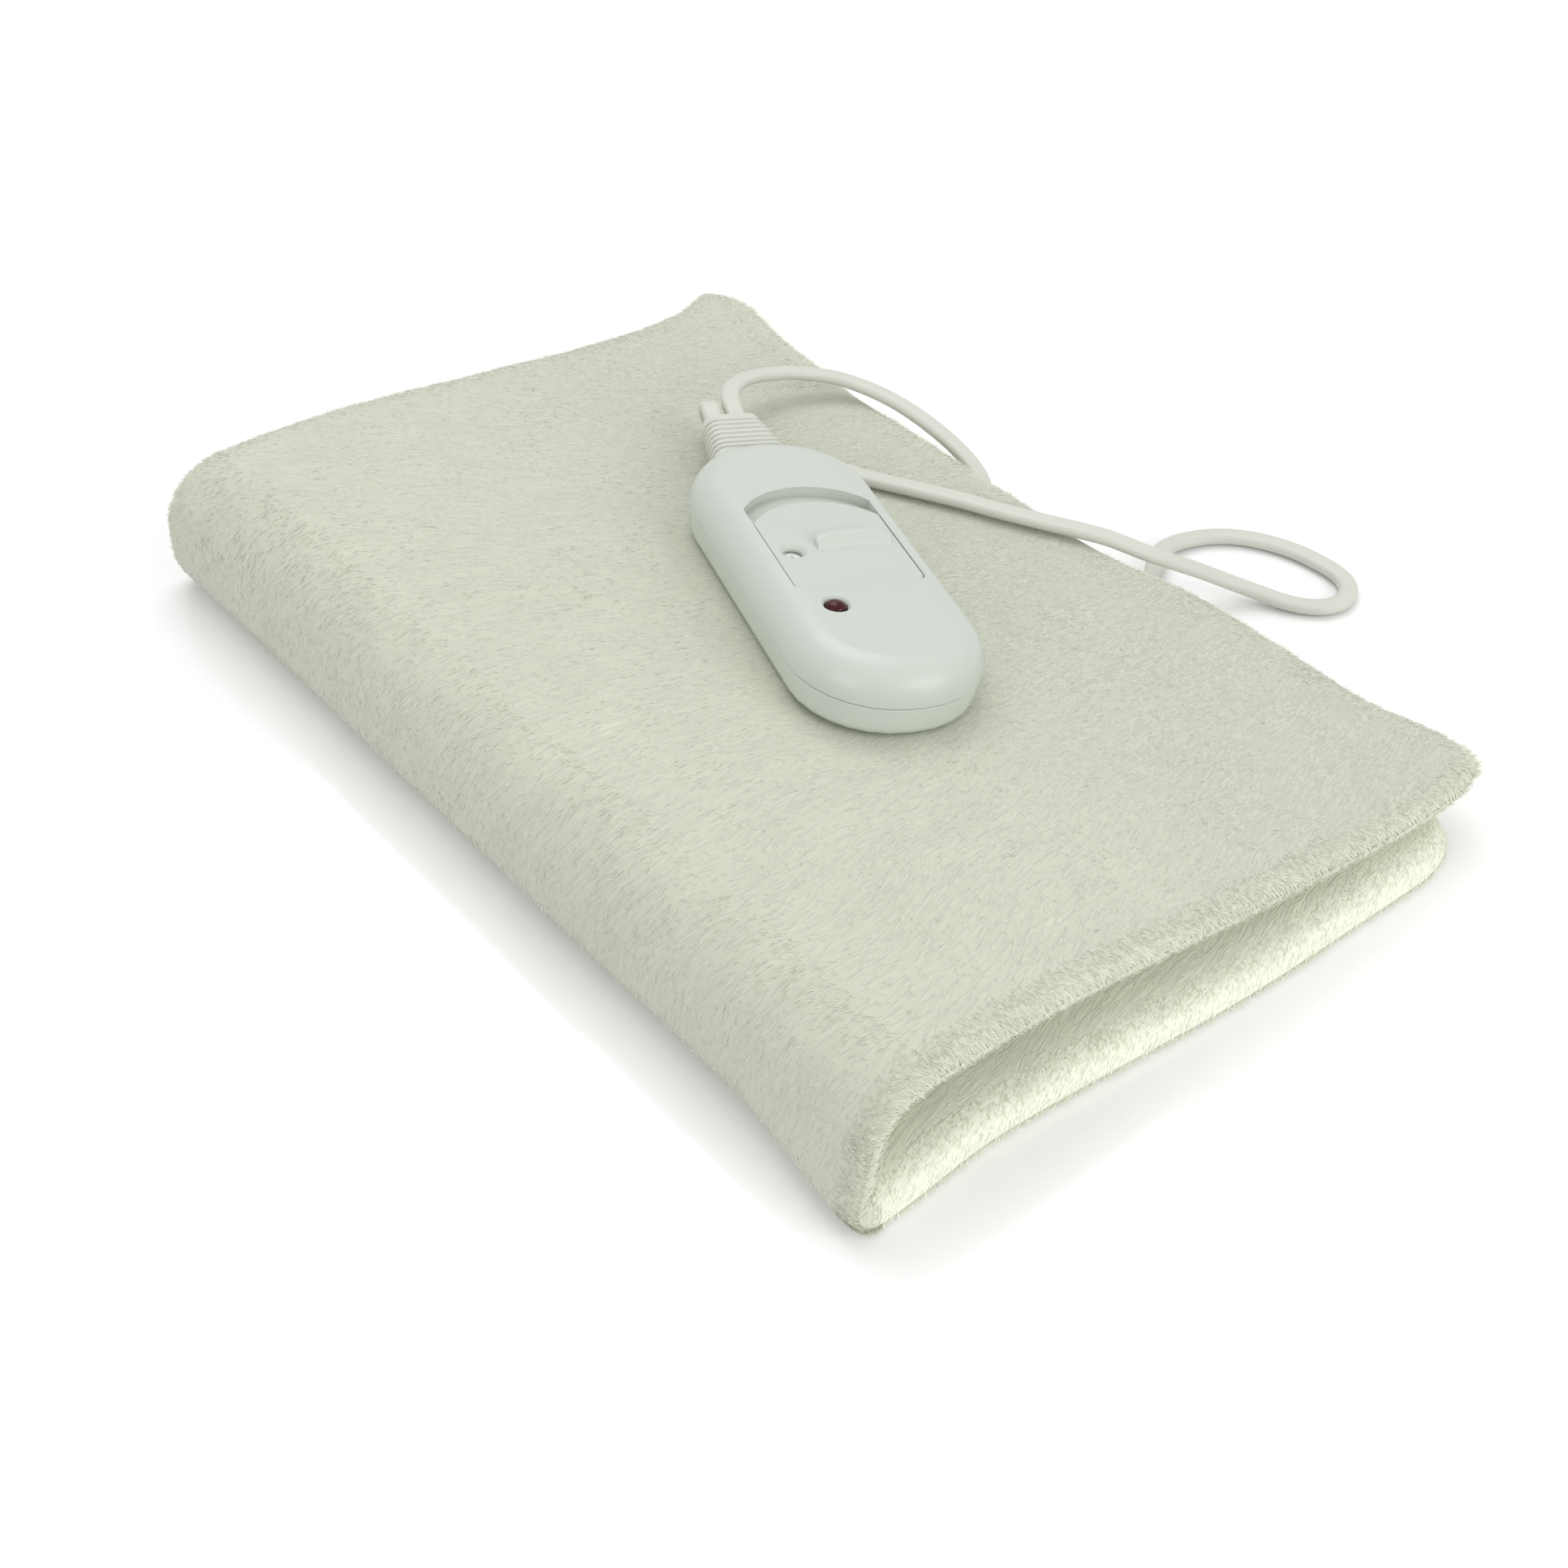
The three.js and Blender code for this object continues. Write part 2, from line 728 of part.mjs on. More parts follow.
function glandCut() {
  const near = gland.neckNear - relief.flangeThickness - overrun,
    far = gland.y + overrun;
  const ring = (y) =>
    reliefRing(relief.neckWidth / 2 + fitGap, relief.neckHeight / 2 + fitGap, y, relief.axisHeight);
  return loft([ring(near), ring(far)]);
}

function upperHousing() {
  const foot = housing.parting + fitGap / 2;
  const shell = cut(loft(upperRings(0, foot)), loft(upperRings(housing.wall, foot - overrun)));
  const tray = prism(sliderShape(housing.wall, slider.travel), trayBottom, ceiling + housing.wall / 2);
  const bossTop = ceiling + housing.wall / 2;
  const bosses = screwPlaces.map(([x, y]) => rod(x, y, foot, bossTop, screw.bossDiameter));
  const pillars = postPlaces.map(([x, y]) =>
    rod(x, y, boardTop + fitGap, trayBottom + overrun, post.diameter),
  );
  const body = joined(shell, tray, ...bosses, ...pillars);
  const pocket = prism(sliderShape(fitGap, slider.travel), pocketBottom, housing.height + overrun);
  const slot = block(-slotHalfWidth, slotHalfWidth, slotNear, slotFar, trayBottom - overrun, housing.height);
  const scaleSeat = block(
    scaleX - scalePlateWidth / 2 - fitGap,
    scaleX + scalePlateWidth / 2 + fitGap,
    scaleNear - fitGap,
    scaleFar + fitGap,
    pocketBottom - scalePlateThickness,
    housing.height,
  );
  const lensHole = turned(lamp.x, lamp.y, [
    [0, ceiling - overrun],
    [lamp.holeDiameter / 2, ceiling - overrun],
    [lamp.holeDiameter / 2, housing.height - lamp.bevel],
    [lamp.holeDiameter / 2 + lamp.bevel, housing.height],
    [lamp.holeDiameter / 2 + lamp.bevel, housing.height + overrun],
    [0, housing.height + overrun],
  ]);
  const screwHoles = screwPlaces.map(([x, y]) =>
    rod(x, y, foot - overrun, screwTop + fitGap, screw.shankDiameter + 2 * fitGap),
  );
  return cut(body, pocket, slot, scaleSeat, lensHole, glandCut(), ...screwHoles);
}

const screwHeadTop = screw.headHeight + fitGap;
const screwTop = screwHeadTop - screw.headHeight + screw.length;

function lowerHousing() {
  const top = housing.parting - fitGap / 2;
  const shell = cut(loft(lowerRings(0, top)), loft(lowerRings(housing.wall, top + overrun)));
  const bosses = screwPlaces.map(([x, y]) => rod(x, y, housing.wall / 2, top, screw.bossDiameter));
  const posts = postPlaces.map(([x, y]) =>
    rod(x, y, housing.wall / 2, boardBottom - fitGap, post.diameter),
  );
  const body = joined(shell, ...bosses, ...posts);
  const holes = screwPlaces.map(([x, y]) =>
    turned(x, y, [
      [0, -overrun],
      [screw.headDiameter / 2 + fitGap, -overrun],
      [screw.headDiameter / 2 + fitGap, screwHeadTop + fitGap],
      [screw.shankDiameter / 2 + fitGap, screwHeadTop + fitGap],
      [screw.shankDiameter / 2 + fitGap, top + overrun],
      [0, top + overrun],
    ]),
  );
  return cut(body, ...holes, glandCut());
}

// Slider button: an arched plate, a finger ridge and two legs that grip the switch knob.
function sliderButton() {
  const top = housing.height - fitGap;
  const low = top - slider.thickness;
  const plate = prism(sliderShape(0), low, top);
  const heightShares = [0, 0.12, 0.45, 0.9, 1, 0.82, 0];
  const depthShares = [0, 0.2, 0.42, 0.62, 0.76, 0.95, 1];
  const lengthShares = [-1, -0.97, -0.88, -0.6, -0.2, 0.2, 0.6, 0.88, 0.97, 1];
  const middle = (slider.ridgeStart + slider.ridgeEnd) / 2,
    halfSpan = (slider.ridgeEnd - slider.ridgeStart) / 2;
  const foot = top - slider.thickness / 4;
  const ridge = loft(
    lengthShares.map((along) => {
      const fromEnd = halfSpan * (1 - Math.abs(along));
      const end = Math.max(0, 1 - fromEnd / slider.ridgeRound);
      const size = Math.sqrt(1 - (1 - slider.ridgeEndSize) * end * end);
      const bow = slider.ridgeBow * along * along;
      return heightShares.map((height, i) => {
        const y = slider.ridgeY + slider.ridgeDepth * (1 / 2 + size * (depthShares[i] - 1 / 2)) - bow;
        return new THREE.Vector3(middle + along * halfSpan, y, foot + slider.ridgeHeight * size * height);
      });
    }),
  );
  const legs = [-1, 1].map((side) => {
    const inner = switchBody.knob / 2 + fitGap;
    const shape = new THREE.Shape();
    const barbTop = trayBottom - fitGap;
    shape.moveTo(side * inner, low + slider.thickness / 2);
    shape.lineTo(side * legOuter, low + slider.thickness / 2);
    shape.lineTo(side * legOuter, barbTop);
    shape.lineTo(side * (legOuter + slider.legBarb), barbTop);
    shape.lineTo(side * legOuter, barbTop - slider.legBarbHeight);
    shape.lineTo(side * inner, barbTop - slider.legBarbHeight);
    const leg = new THREE.ExtrudeGeometry(shape, { depth: slider.legWidth, bevelEnabled: false });
    return leg.rotateX(Math.PI / 2).translate(0, switchBody.y + slider.legWidth / 2, 0);
  });
  const sight = turned(slider.sightX, slider.sightY, [
    [0, low - overrun],
    [slider.sightDiameter / 2, low - overrun],
    [slider.sightDiameter / 2, top - slider.sightBevel],
    [slider.sightDiameter / 2 + slider.sightBevel, top],
    [slider.sightDiameter / 2 + slider.sightBevel, top + overrun],
    [0, top + overrun],
  ]);
  return cut(joined(plate, ridge, ...legs), sight);
}

function scalePlate() {
  const low = pocketBottom - scalePlateThickness + fitGap;
  const halfWidth = scalePlateWidth / 2;
  return block(scaleX - halfWidth, scaleX + halfWidth, scaleNear, scaleFar, low, low + scalePlateThickness);
}

// Lamp, lens and the parts on the board

function lampLens() {
  const radius = lamp.holeDiameter / 2 - fitGap;
  const flangeTop = ceiling - fitGap;
  const domeFoot = housing.height - lamp.bevel;
  const profile = [
    [0, flangeTop - lamp.flange],
    [radius + lamp.flangeRim, flangeTop - lamp.flange],
    [radius + lamp.flangeRim, flangeTop],
    [radius, flangeTop],
    [radius, domeFoot],
  ];
  const steps = round.cornerSteps;
  for (let i = 1; i <= steps; i++) {
    const angle = (i / steps) * (Math.PI / 2);
    profile.push([i === steps ? 0 : radius * Math.cos(angle), domeFoot + lamp.dome * Math.sin(angle)]);
  }
  return turned(lamp.x, lamp.y, profile);
}

function lampBulb() {
  const top = ceiling - 2 * fitGap - lamp.flange;
  const radius = lamp.bulbDiameter / 2;
  const foot = top - lamp.bulbHeight;
  const profile = [
    [0, foot],
    [lamp.rimDiameter / 2, foot],
    [lamp.rimDiameter / 2, foot + lamp.rimHeight],
    [radius, foot + lamp.rimHeight],
    [radius, top - radius],
  ];
  const steps = round.cornerSteps;
  for (let i = 1; i <= steps; i++) {
    const angle = (i / steps) * (Math.PI / 2);
    profile.push([i === steps ? 0 : radius * Math.cos(angle), top - radius + radius * Math.sin(angle)]);
  }
  const legs = [-1, 1].map((side) => {
    const x = lamp.x + (side * lamp.legSpacing) / 2;
    return rod(x, lamp.y, boardBottom, foot + lamp.rimHeight / 2, lamp.legDiameter, round.steps);
  });
  return joined(turned(lamp.x, lamp.y, profile, round.steps * 2), ...legs);
}

function circuitBoard() {
  const outline = roundedOutline(board.width / 2, board.length / 2, board.cornerRadius);
  const plate = prism(new THREE.Shape(outline), boardBottom, boardTop);
  const notches = screwPlaces.map(([x, y]) =>
    rod(x, y, boardBottom - overrun, boardTop + overrun, screw.bossDiameter + 2 * fitGap),
  );
  const legHoles = [-1, 1].map((side) => {
    const x = lamp.x + (side * lamp.legSpacing) / 2;
    return rod(x, lamp.y, boardBottom - overrun, boardTop + overrun, lamp.legHoleDiameter, round.steps);
  });
  return cut(plate, ...notches, ...legHoles);
}

const switchTop = boardTop + fitGap + switchBody.height;
const switchMiddle = switchBody.y + slider.travel / 2;

function slideSwitch() {
  const low = boardTop + fitGap;
  const halfWidth = switchBody.width / 2;
  const body = block(
    -halfWidth,
    halfWidth,
    switchMiddle - switchBody.length / 2,
    switchMiddle + switchBody.length / 2,
    low,
    switchTop,
  );
  const halfSlot = switchBody.knob / 2 + fitGap;
  const channel = block(
    -halfSlot,
    halfSlot,
    switchBody.y - halfSlot,
    switchBody.y + halfSlot + slider.travel,
    switchTop - switchBody.knobFoot - fitGap,
    switchTop + overrun,
  );
  return cut(body, channel);
}

function switchKnob() {
  const half = switchBody.knob / 2;
  const low = switchTop - switchBody.knobFoot;
  const high = housing.height - 2 * fitGap - slider.thickness;
  return block(-half, half, switchBody.y - half, switchBody.y + half, low, high);
}

// A round part that lies along Y, with its profile as [radius, distance from one end].
function lying(x, y, z, profile, segments = round.roughSteps) {
  const points = profile.map(([radius, along]) => new THREE.Vector2(radius, along));
  return new THREE.LatheGeometry(points, segments).translate(x, y, z);
}

function glassFuse() {
  const radius = fuse.diameter / 2;
  const glass = radius - fuse.capRim;
  const end = fuse.length;
  return lying(fuse.x, clampNear - fuse.fromClamp - end, boardTop + fitGap + radius, [
    [0, 0],
    [radius, 0],
    [radius, fuse.capLength],
    [glass, fuse.capLength],
    [glass, end - fuse.capLength],
    [radius, end - fuse.capLength],
    [radius, end],
    [0, end],
  ]);
}

function rectifierDiode() {
  const radius = diode.diameter / 2,
    leg = diode.legDiameter / 2;
  const start = diode.legReach,
    end = diode.legReach + diode.length;
  const whole = end + diode.legReach;
  return lying(diode.x, clampNear - diode.fromClamp - whole, boardTop + fitGap + radius, [
    [0, 0],
    [leg, 0],
    [leg, start],
    [radius, start],
    [radius, end],
    [leg, end],
    [leg, whole],
    [0, whole],
  ]);
}

function filterCapacitor() {
  const outline = roundedOutline(capacitor.length / 2, capacitor.width / 2, capacitor.corner, 2);
  const low = boardTop + fitGap;
  return prism(new THREE.Shape(outline), low, low + capacitor.height).translate(capacitor.x, capacitor.y, 0);
}

function housingScrew([x, y]) {
  const low = screwHeadTop - screw.headHeight;
  const headRadius = screw.headDiameter / 2;
  const shank = screw.shankDiameter / 2;
  const turnedScrew = turned(x, y, [
    [0, low],
    [headRadius, low],
    [headRadius, screwHeadTop],
    [shank, screwHeadTop],
    [shank, screwTop - screw.shankDiameter],
    [0, screwTop],
  ], round.roughSteps);
  const half = screw.slotWidth / 2;
  const slots = [
    block(x - headRadius / 2, x + headRadius / 2, y - half, y + half, low - overrun, low + screw.slotDepth),
    block(x - half, x + half, y - headRadius / 2, y + headRadius / 2, low - overrun, low + screw.slotDepth),
  ];
  return cut(turnedScrew, ...slots);
}

// Strain relief: a flange and neck held in the shells, and a ribbed taper outside with two cord sockets.

const reliefFar = gland.y + relief.length;

function reliefAxis(y) {
  return relief.axisHeight + relief.rise * smooth((y - gland.y) / relief.length);
}

function strainRelief() {
  const flangeFar = gland.neckNear;
  const flangeNear = flangeFar - relief.flangeThickness;
  const ribbedNear = gland.y - relief.wrap;
  const halfNeck = [relief.neckWidth / 2, relief.neckHeight / 2];
  const halfFlange = [relief.flangeWidth / 2, relief.flangeHeight / 2];
  const flange = loft([flangeNear, flangeFar].map((y) => reliefRing(...halfFlange, y, relief.axisHeight)));
  const neckEnds = [flangeFar - relief.flangeThickness / 2, gland.y + overrun];
  const neck = loft(neckEnds.map((y) => reliefRing(...halfNeck, y, relief.axisHeight)));
  const rings = [];
  const ring = (y, inset) => {
    const share = (y - gland.y) / relief.length;
    const halfX = THREE.MathUtils.lerp(relief.nearWidth, relief.farWidth, share) / 2;
    const halfZ = THREE.MathUtils.lerp(relief.nearHeight, relief.farHeight, share) / 2;
    return reliefRing(halfX, halfZ, y, reliefAxis(y), inset);
  };
  rings.push(ring(ribbedNear, 0));
  const ribsNear = gland.y + fitGap;
  const ribbedLength = reliefFar - ribsNear - 2 * relief.faceLength;
  const pitch = ribbedLength / relief.ribs;
  for (let i = 0; i < relief.ribs; i++) {
    const start = ribsNear + relief.faceLength + i * pitch;
    const grooveShares = [0, 0.15, 0.35, 0.5];
    const insetShares = [0, 1, 1, 0];
    grooveShares.forEach((share, k) =>
      rings.push(ring(start + share * pitch, insetShares[k] * relief.grooveDepth)),
    );
  }
  rings.push(ring(reliefFar, 0));
  const sockets = [-1, 1].map((side) => {
    const outline = roundedOutline(
      cord.width / 2 + fitGap,
      cord.thickness / 2 + fitGap,
      cord.thickness / 2 + fitGap,
      round.cornerSteps,
    );
    const at = (y) =>
      outline.map(
        (p) =>
          new THREE.Vector3((side * relief.cordSpacing) / 2 + p.x, y, reliefAxis(reliefFar) + p.y),
      );
    return loft([at(reliefFar - relief.socketDepth), at(reliefFar + overrun)]);
  });
  const housingRoom = loft([-fitGap, housing.height + fitGap].map((height) => housingRing(-fitGap, height)));
  const ribbed = cut(loft(rings), housingRoom);
  return cut(joined(ribbed, neck, flange), ...sockets);
}

// The clamp presses the four leads down onto the board's end.
function cordClamp() {
  const low = boardTop + lead.diameter + 2 * fitGap;
  const outline = roundedOutline(clamp.width / 2, clamp.length / 2, clamp.length / 4, round.cornerSteps);
  const foot = low - lead.diameter / 2;
  const bar = prism(new THREE.Shape(outline), foot, foot + clamp.height);
  const grooves = leadPlaces.map((x) =>
    block(
      x - lead.diameter / 2 - fitGap,
      x + lead.diameter / 2 + fitGap,
      -clamp.length,
      clamp.length,
      boardTop,
      low,
    ),
  );
  return cut(bar, ...grooves).translate(0, clampY, 0);
}

const leadPlaces = [-1.5, -0.5, 0.5, 1.5].map((share) => share * lead.spacing);

// A lead runs from the strain relief's flange, down and under the clamp, onto the board.
function leadWire(x) {
  const start = gland.neckNear - relief.flangeThickness - fitGap;
  const low = boardTop + fitGap + lead.diameter / 2;
  const end = clampNear - lead.reach;
  const rise = relief.axisHeight - low;
  const points = [];
  const steps = 6;
  for (let i = 0; i <= steps; i++) {
    const share = i / steps;
    const y = THREE.MathUtils.lerp(start, clampY + clamp.length / 2, share);
    points.push(new THREE.Vector3(x, y, low + rise * (1 - smooth(share))));
  }
  points.push(new THREE.Vector3(x, clampNear, low), new THREE.Vector3(x, end, low));
  return tube(points, lead.diameter, round.steps);
}

// Flat cords

// The cord's section, a flat side and two round edges; the folded stretch has coarser edges.
function cordSection(edgeSteps) {
  return new THREE.Shape(
    roundedOutline(cord.width / 2, cord.thickness / 2, cord.thickness / 2, edgeSteps),
  );
}

// A path whose flat side settles level wherever the cord runs level.
class CordPath extends THREE.CatmullRomCurve3 {
  constructor(points, firstSide) {
    super(points, false, "centripetal");
    this.firstSide = firstSide;
    this.arcLengthDivisions = cordSteps.arcLengths;
  }

  computeFrenetFrames(segments) {
    const tangents = [],
      normals = [],
      binormals = [];
    const side = this.firstSide.clone();
    const up = new THREE.Vector3(0, 0, 1);
    const settleShare = 0.3;
    for (let i = 0; i <= segments; i++) {
      const tangent = this.getTangentAt(i / segments);
      const level = up.clone().cross(tangent);
      const levelShare = level.lengthSq();
      if (level.dot(side) < 0) level.negate();
      if (i) side.lerp(level.normalize(), settleShare * levelShare * levelShare);
      side.addScaledVector(tangent, -side.dot(tangent)).normalize();
      tangents.push(tangent);
      normals.push(side.clone());
      binormals.push(tangent.clone().cross(side));
    }
    return { tangents, normals, binormals };
  }
}

function flatCord(path, steps, edgeSteps = 2) {
  const section = cordSection(edgeSteps);
  return new THREE.ExtrudeGeometry(section, { steps, bevelEnabled: false, extrudePath: path });
}

const cordStart = reliefFar - relief.socketDepth + fitGap;
const cordAxis = reliefAxis(reliefFar);

// The first stretch of a cord in its socket: side -1 is the pad cord, 1 the mains cord.
function socketPoints(side) {
  const x = (side * relief.cordSpacing) / 2;
  return [placed(x, cordStart, cordAxis), placed(x, reliefFar + fitGap, cordAxis)];
}

const cordSide = placed(1, 0, 0).sub(placed(0, 0, 0));

// The mains cord arches from the strain relief over the open edge and in between the two halves.
const betweenHalves = halfThickness + fitGap + cord.thickness / 2;
const mainsRoute = [
  [44.3, 77, 37.9],
  [49.1, 83.7, 37.3],
  [54.8, 87.6, 36.1],
  [61.5, 89.8, 34.5],
  [68.8, 90, 32.7],
  [76.1, 88.8, 31],
  [83.2, 85.2, 29.2],
  [89.3, 80.1, 27.5],
  [96.9, 66.6, 24],
  [101.7, 49.8, 18.5],
  [102.2, 37.6, 14.5],
  [99.8, 29.6, 12.3],
  [93.3, 24, 11.5],
  [86, 20.5, 11.3],
  [76, 17.5, 11.3],
  [62, 13, 11.3],
  [46, 6, 11.3],
  [30, -3, 11.5],
  [14, -13, 11.9],
  [0, -24, 12.3],
  [-13, -34.5, 12.4],
  [-19.3, -41.5, 12.4],
];

// The pad cord turns back under the strain relief, and loops on the table before the pad's edge.
const padRoute = [
  [35.1, 73.3, 38.7],
  [36.8, 77.2, 39.5],
  [38, 79.6, 38.8],
  [39, 81.2, 36.9],
  [39.7, 81.7, 34.4],
  [40, 80.8, 31.8],
  [40.1, 78.8, 29.9],
  [40.8, 75.7, 29.1],
  [42.6, 70.9, 28.9],
  [46.1, 63.5, 28.4],
  [54.3, 50, 27.4],
  [62.2, 36, 26.4],
  [68, 26.3, 26],
  [75.2, 14, 25.5],
  [81.1, 2, 25.2],
  [87.3, -9.8, 25],
  [92, -18, 24.8],
  [96.5, -24.5, 23.8],
  [103.8, -31.6, 19.8],
  [111.8, -35.4, 15],
  [119.6, -39.6, 10.5],
  [126.8, -44.3, 6.2],
  [132.5, -50.5, 3.4],
  [137.5, -58, 2.1],
  [142.6, -65, 1.9],
  [148.6, -67.6, 1.9],
  [154.8, -64, 1.9],
  [158.5, -54.6, 1.9],
  [157.6, -43.4, 1.9],
  [153.7, -32.8, 1.9],
  [147.6, -24.7, 1.9],
  [140.2, -19.8, 1.9],
  [131.3, -17.8, 2.3],
  [123.5, -20, 3.2],
  [117.5, -24.5, 4.1],
];

// Boot and joint in the pad's lower edge, where the pad cord goes in.
const bootX = openX - pad.lowerSetBack;
const bootY = boot.y;
const bootZ = halfThickness / 2;

function bootRing(x, halfY, halfZ, middle = bootZ) {
  const outline = roundedOutline(halfY, halfZ, Math.min(halfY, halfZ) / 2, round.cornerSteps);
  return outline.map((p) => new THREE.Vector3(x, bootY + p.x, middle + p.y));
}

const bootInner = bootX - (boot.length - boot.outside);
const bootFull = bootX - pad.rimRound / 4;

function cordBoot() {
  const halfJoint = heater.wireDiameter / 2;
  const nose = loft([
    bootRing(bootInner, boot.width / 2, halfJoint, wireDepth),
    bootRing(bootFull, boot.width / 2, boot.height / 2),
    bootRing(bootX + fitGap, boot.width / 2, boot.height / 2),
    bootRing(bootX + boot.outside, cord.width / 2 + boot.nose, cord.thickness / 2 + boot.nose),
  ]);
  const joint = loft([
    bootRing(bootInner - boot.jointLength, boot.jointWidth / 2, halfJoint, wireDepth),
    bootRing(bootInner + fitGap, boot.jointWidth / 2, halfJoint, wireDepth),
  ]);
  const halfCord = [cord.width / 2 + fitGap, cord.thickness / 2 + fitGap];
  const socket = roundedOutline(...halfCord, cord.thickness / 2, round.cornerSteps);
  const at = (x) => socket.map((p) => new THREE.Vector3(x, bootY + p.x, bootZ + p.y));
  const hole = loft([at(bootX + boot.outside / 3), at(bootX + boot.outside + overrun)]);
  return cut(joined(nose, joint), hole);
}

// Room for the boot where it passes between the fleeces at the rim.
function bootRoom() {
  const halfY = boot.width / 2 + fitGap;
  return loft([
    bootRing(bootX - pad.rimRound - fitGap, halfY, pad.coreGap / 2),
    bootRing(bootFull - fitGap, halfY, boot.height / 2 + fitGap),
    bootRing(bootX + overrun, halfY, boot.height / 2 + fitGap),
  ]);
}

// The spare mains cord, folded into a hank in four layers, drawn in at its waist.

const layerStep = cord.thickness + hank.layerGap;
const hankLow = halfThickness + 2 * fitGap + hank.tieThickness + cord.thickness / 2;

class HankPath extends THREE.Curve {
  constructor() {
    super();
    this.arcLengthDivisions = cordSteps.arcLengths;
  }

  // One loop as a share of a turn: near fold, left run, far fold, right run.
  getPoint(t) {
    const turns = t * hank.turns;
    const perLayer = hank.turns / hank.layers;
    const layer = Math.min(hank.layers - 1, Math.floor(turns / perLayer));
    const within = turns - layer * perLayer;
    const inward = layer % 2 ? perLayer - within : within;
    const halfWidth = hank.endWidth / 2 - hank.loopPitch * inward;
    let level = 0;
    for (let k = 1; k < hank.layers; k++)
      level += smooth((turns - k * perLayer) / hank.climbTurns + 1 / 2);
    const share = turns - Math.floor(turns);
    const fold = Math.PI * halfWidth,
      whole = 2 * (fold + hank.straight);
    const along = share * whole;
    const half = hank.straight / 2;
    const second = along >= whole / 2;
    const rest = second ? along - whole / 2 : along;
    const sign = second ? -1 : 1;
    let x, y;
    if (rest < fold) {
      const angle = rest / halfWidth;
      x = halfWidth * Math.cos(angle);
      y = -half - halfWidth * Math.sin(angle);
    } else {
      y = -half + (rest - fold);
      const draw = Math.cos((Math.PI / 2) * (y / half)) ** 2;
      x = -(halfWidth - hank.waistDraw * draw);
    }
    return new THREE.Vector3(hank.x + sign * x, hank.y + sign * y, hankLow + level * layerStep);
  }

  computeFrenetFrames(segments) {
    const tangents = [],
      normals = [],
      binormals = [];
    for (let i = 0; i <= segments; i++) {
      const tangent = this.getTangentAt(i / segments);
      const side = new THREE.Vector3(-tangent.y, tangent.x, 0).normalize();
      tangents.push(tangent);
      normals.push(side);
      binormals.push(tangent.clone().cross(side));
    }
    return { tangents, normals, binormals };
  }
}

const hankPath = new HankPath();
const hankStart = hankPath.getPointAt(0),
  hankEnd = hankPath.getPointAt(1);

function hankTie() {
  const reach = hank.endWidth / 2 - hank.waistDraw + cord.width / 2 + hank.tieGap;
  const low = hankLow - cord.thickness / 2 - fitGap;
  const high = hankLow + (hank.layers - 1) * layerStep + cord.thickness / 2 + fitGap;
  const around = (grow) =>
    block(
      hank.x - reach - grow,
      hank.x + reach + grow,
      hank.y - hank.tieWidth / 2,
      hank.y + hank.tieWidth / 2,
      low - grow,
      high + grow,
    );
  const inside = block(
    hank.x - reach,
    hank.x + reach,
    hank.y - hank.tieWidth,
    hank.y + hank.tieWidth,
    low,
    high,
  );
  return cut(around(hank.tieThickness), inside);
}

// The least gap between loops, measured between points of the built tube a loop or more apart.
function leastLoopGap(geometry, steps) {
  const places = solidOf(geometry).getMesh().vertProperties;
  const rings = Array.from({ length: steps + 1 }, () => []);
  const p = new THREE.Vector3();
  const stations = rings.map((_, i) => hankPath.getPointAt(i / steps));
  for (let i = 0; i < places.length; i += 3) {
    p.fromArray(places, i);
    let best = 0,
      least = Infinity;
    stations.forEach((station, k) => {
      const d = station.distanceToSquared(p);
      if (d < least) [least, best] = [d, k];
    });
    rings[best].push(p.clone());
  }
  const apart = hank.stepsPerTurn / 2;
  let gap = Infinity;
  for (let a = 0; a <= steps; a++)
    for (let b = a + apart; b <= steps; b++)
      for (const pa of rings[a]) for (const pb of rings[b]) gap = Math.min(gap, pa.distanceTo(pb));
  return gap;
}

// Mains plug: two pins, a flat body and a ringed sleeve. It lies on the lower half, in the fold.

const plugX = hank.x;
const plugZ = halfThickness + fitGap + plug.thickness / 2;
const sleeveNear = hank.y + hank.straight / 2 + hank.endWidth / 2 + cord.width / 2 + hank.tailRoom;
const plugNear = sleeveNear + plug.sleeveLength;
const plugFar = plugNear + plug.length;

function plugRing(width, height, y, corner) {
  const outline = roundedOutline(width / 2, height / 2, corner, round.cornerSteps);
  return outline.map((p) => new THREE.Vector3(plugX + p.x, y, plugZ + p.y));
}

function plugBody() {
  const near = plugNear + fitGap;
  const body = loft([
    plugRing(plug.neckWidth, plug.neckHeight, near, plug.corner),
    plugRing(plug.width, plug.thickness, near + plug.shoulder, plug.corner),
    plugRing(plug.width, plug.thickness, plugFar, plug.corner),
  ]);
  const seats = [-1, 1].map((side) =>
    lying(plugX + (side * plug.pinSpacing) / 2, plugFar - plug.pinSeat, plugZ, [
      [0, 0],
      [plug.pinDiameter / 2 + fitGap, 0],
      [plug.pinDiameter / 2 + fitGap, plug.pinSeat + overrun],
      [0, plug.pinSeat + overrun],
    ]),
  );
  return cut(body, ...seats);
}

function plugPin(side) {
  const radius = plug.pinDiameter / 2,
    collar = plug.collarDiameter / 2;
  const tip = plug.pinSeat + plug.pinLength;
  return lying(plugX + (side * plug.pinSpacing) / 2, plugFar - plug.pinSeat + fitGap, plugZ, [
    [0, 0],
    [radius, 0],
    [radius, plug.pinSeat],
    [collar, plug.pinSeat],
    [collar, plug.pinSeat + plug.collarLength],
    [radius, plug.pinSeat + plug.collarLength],
    [radius, tip - radius],
    [radius / 2, tip],
    [0, tip],
  ]);
}

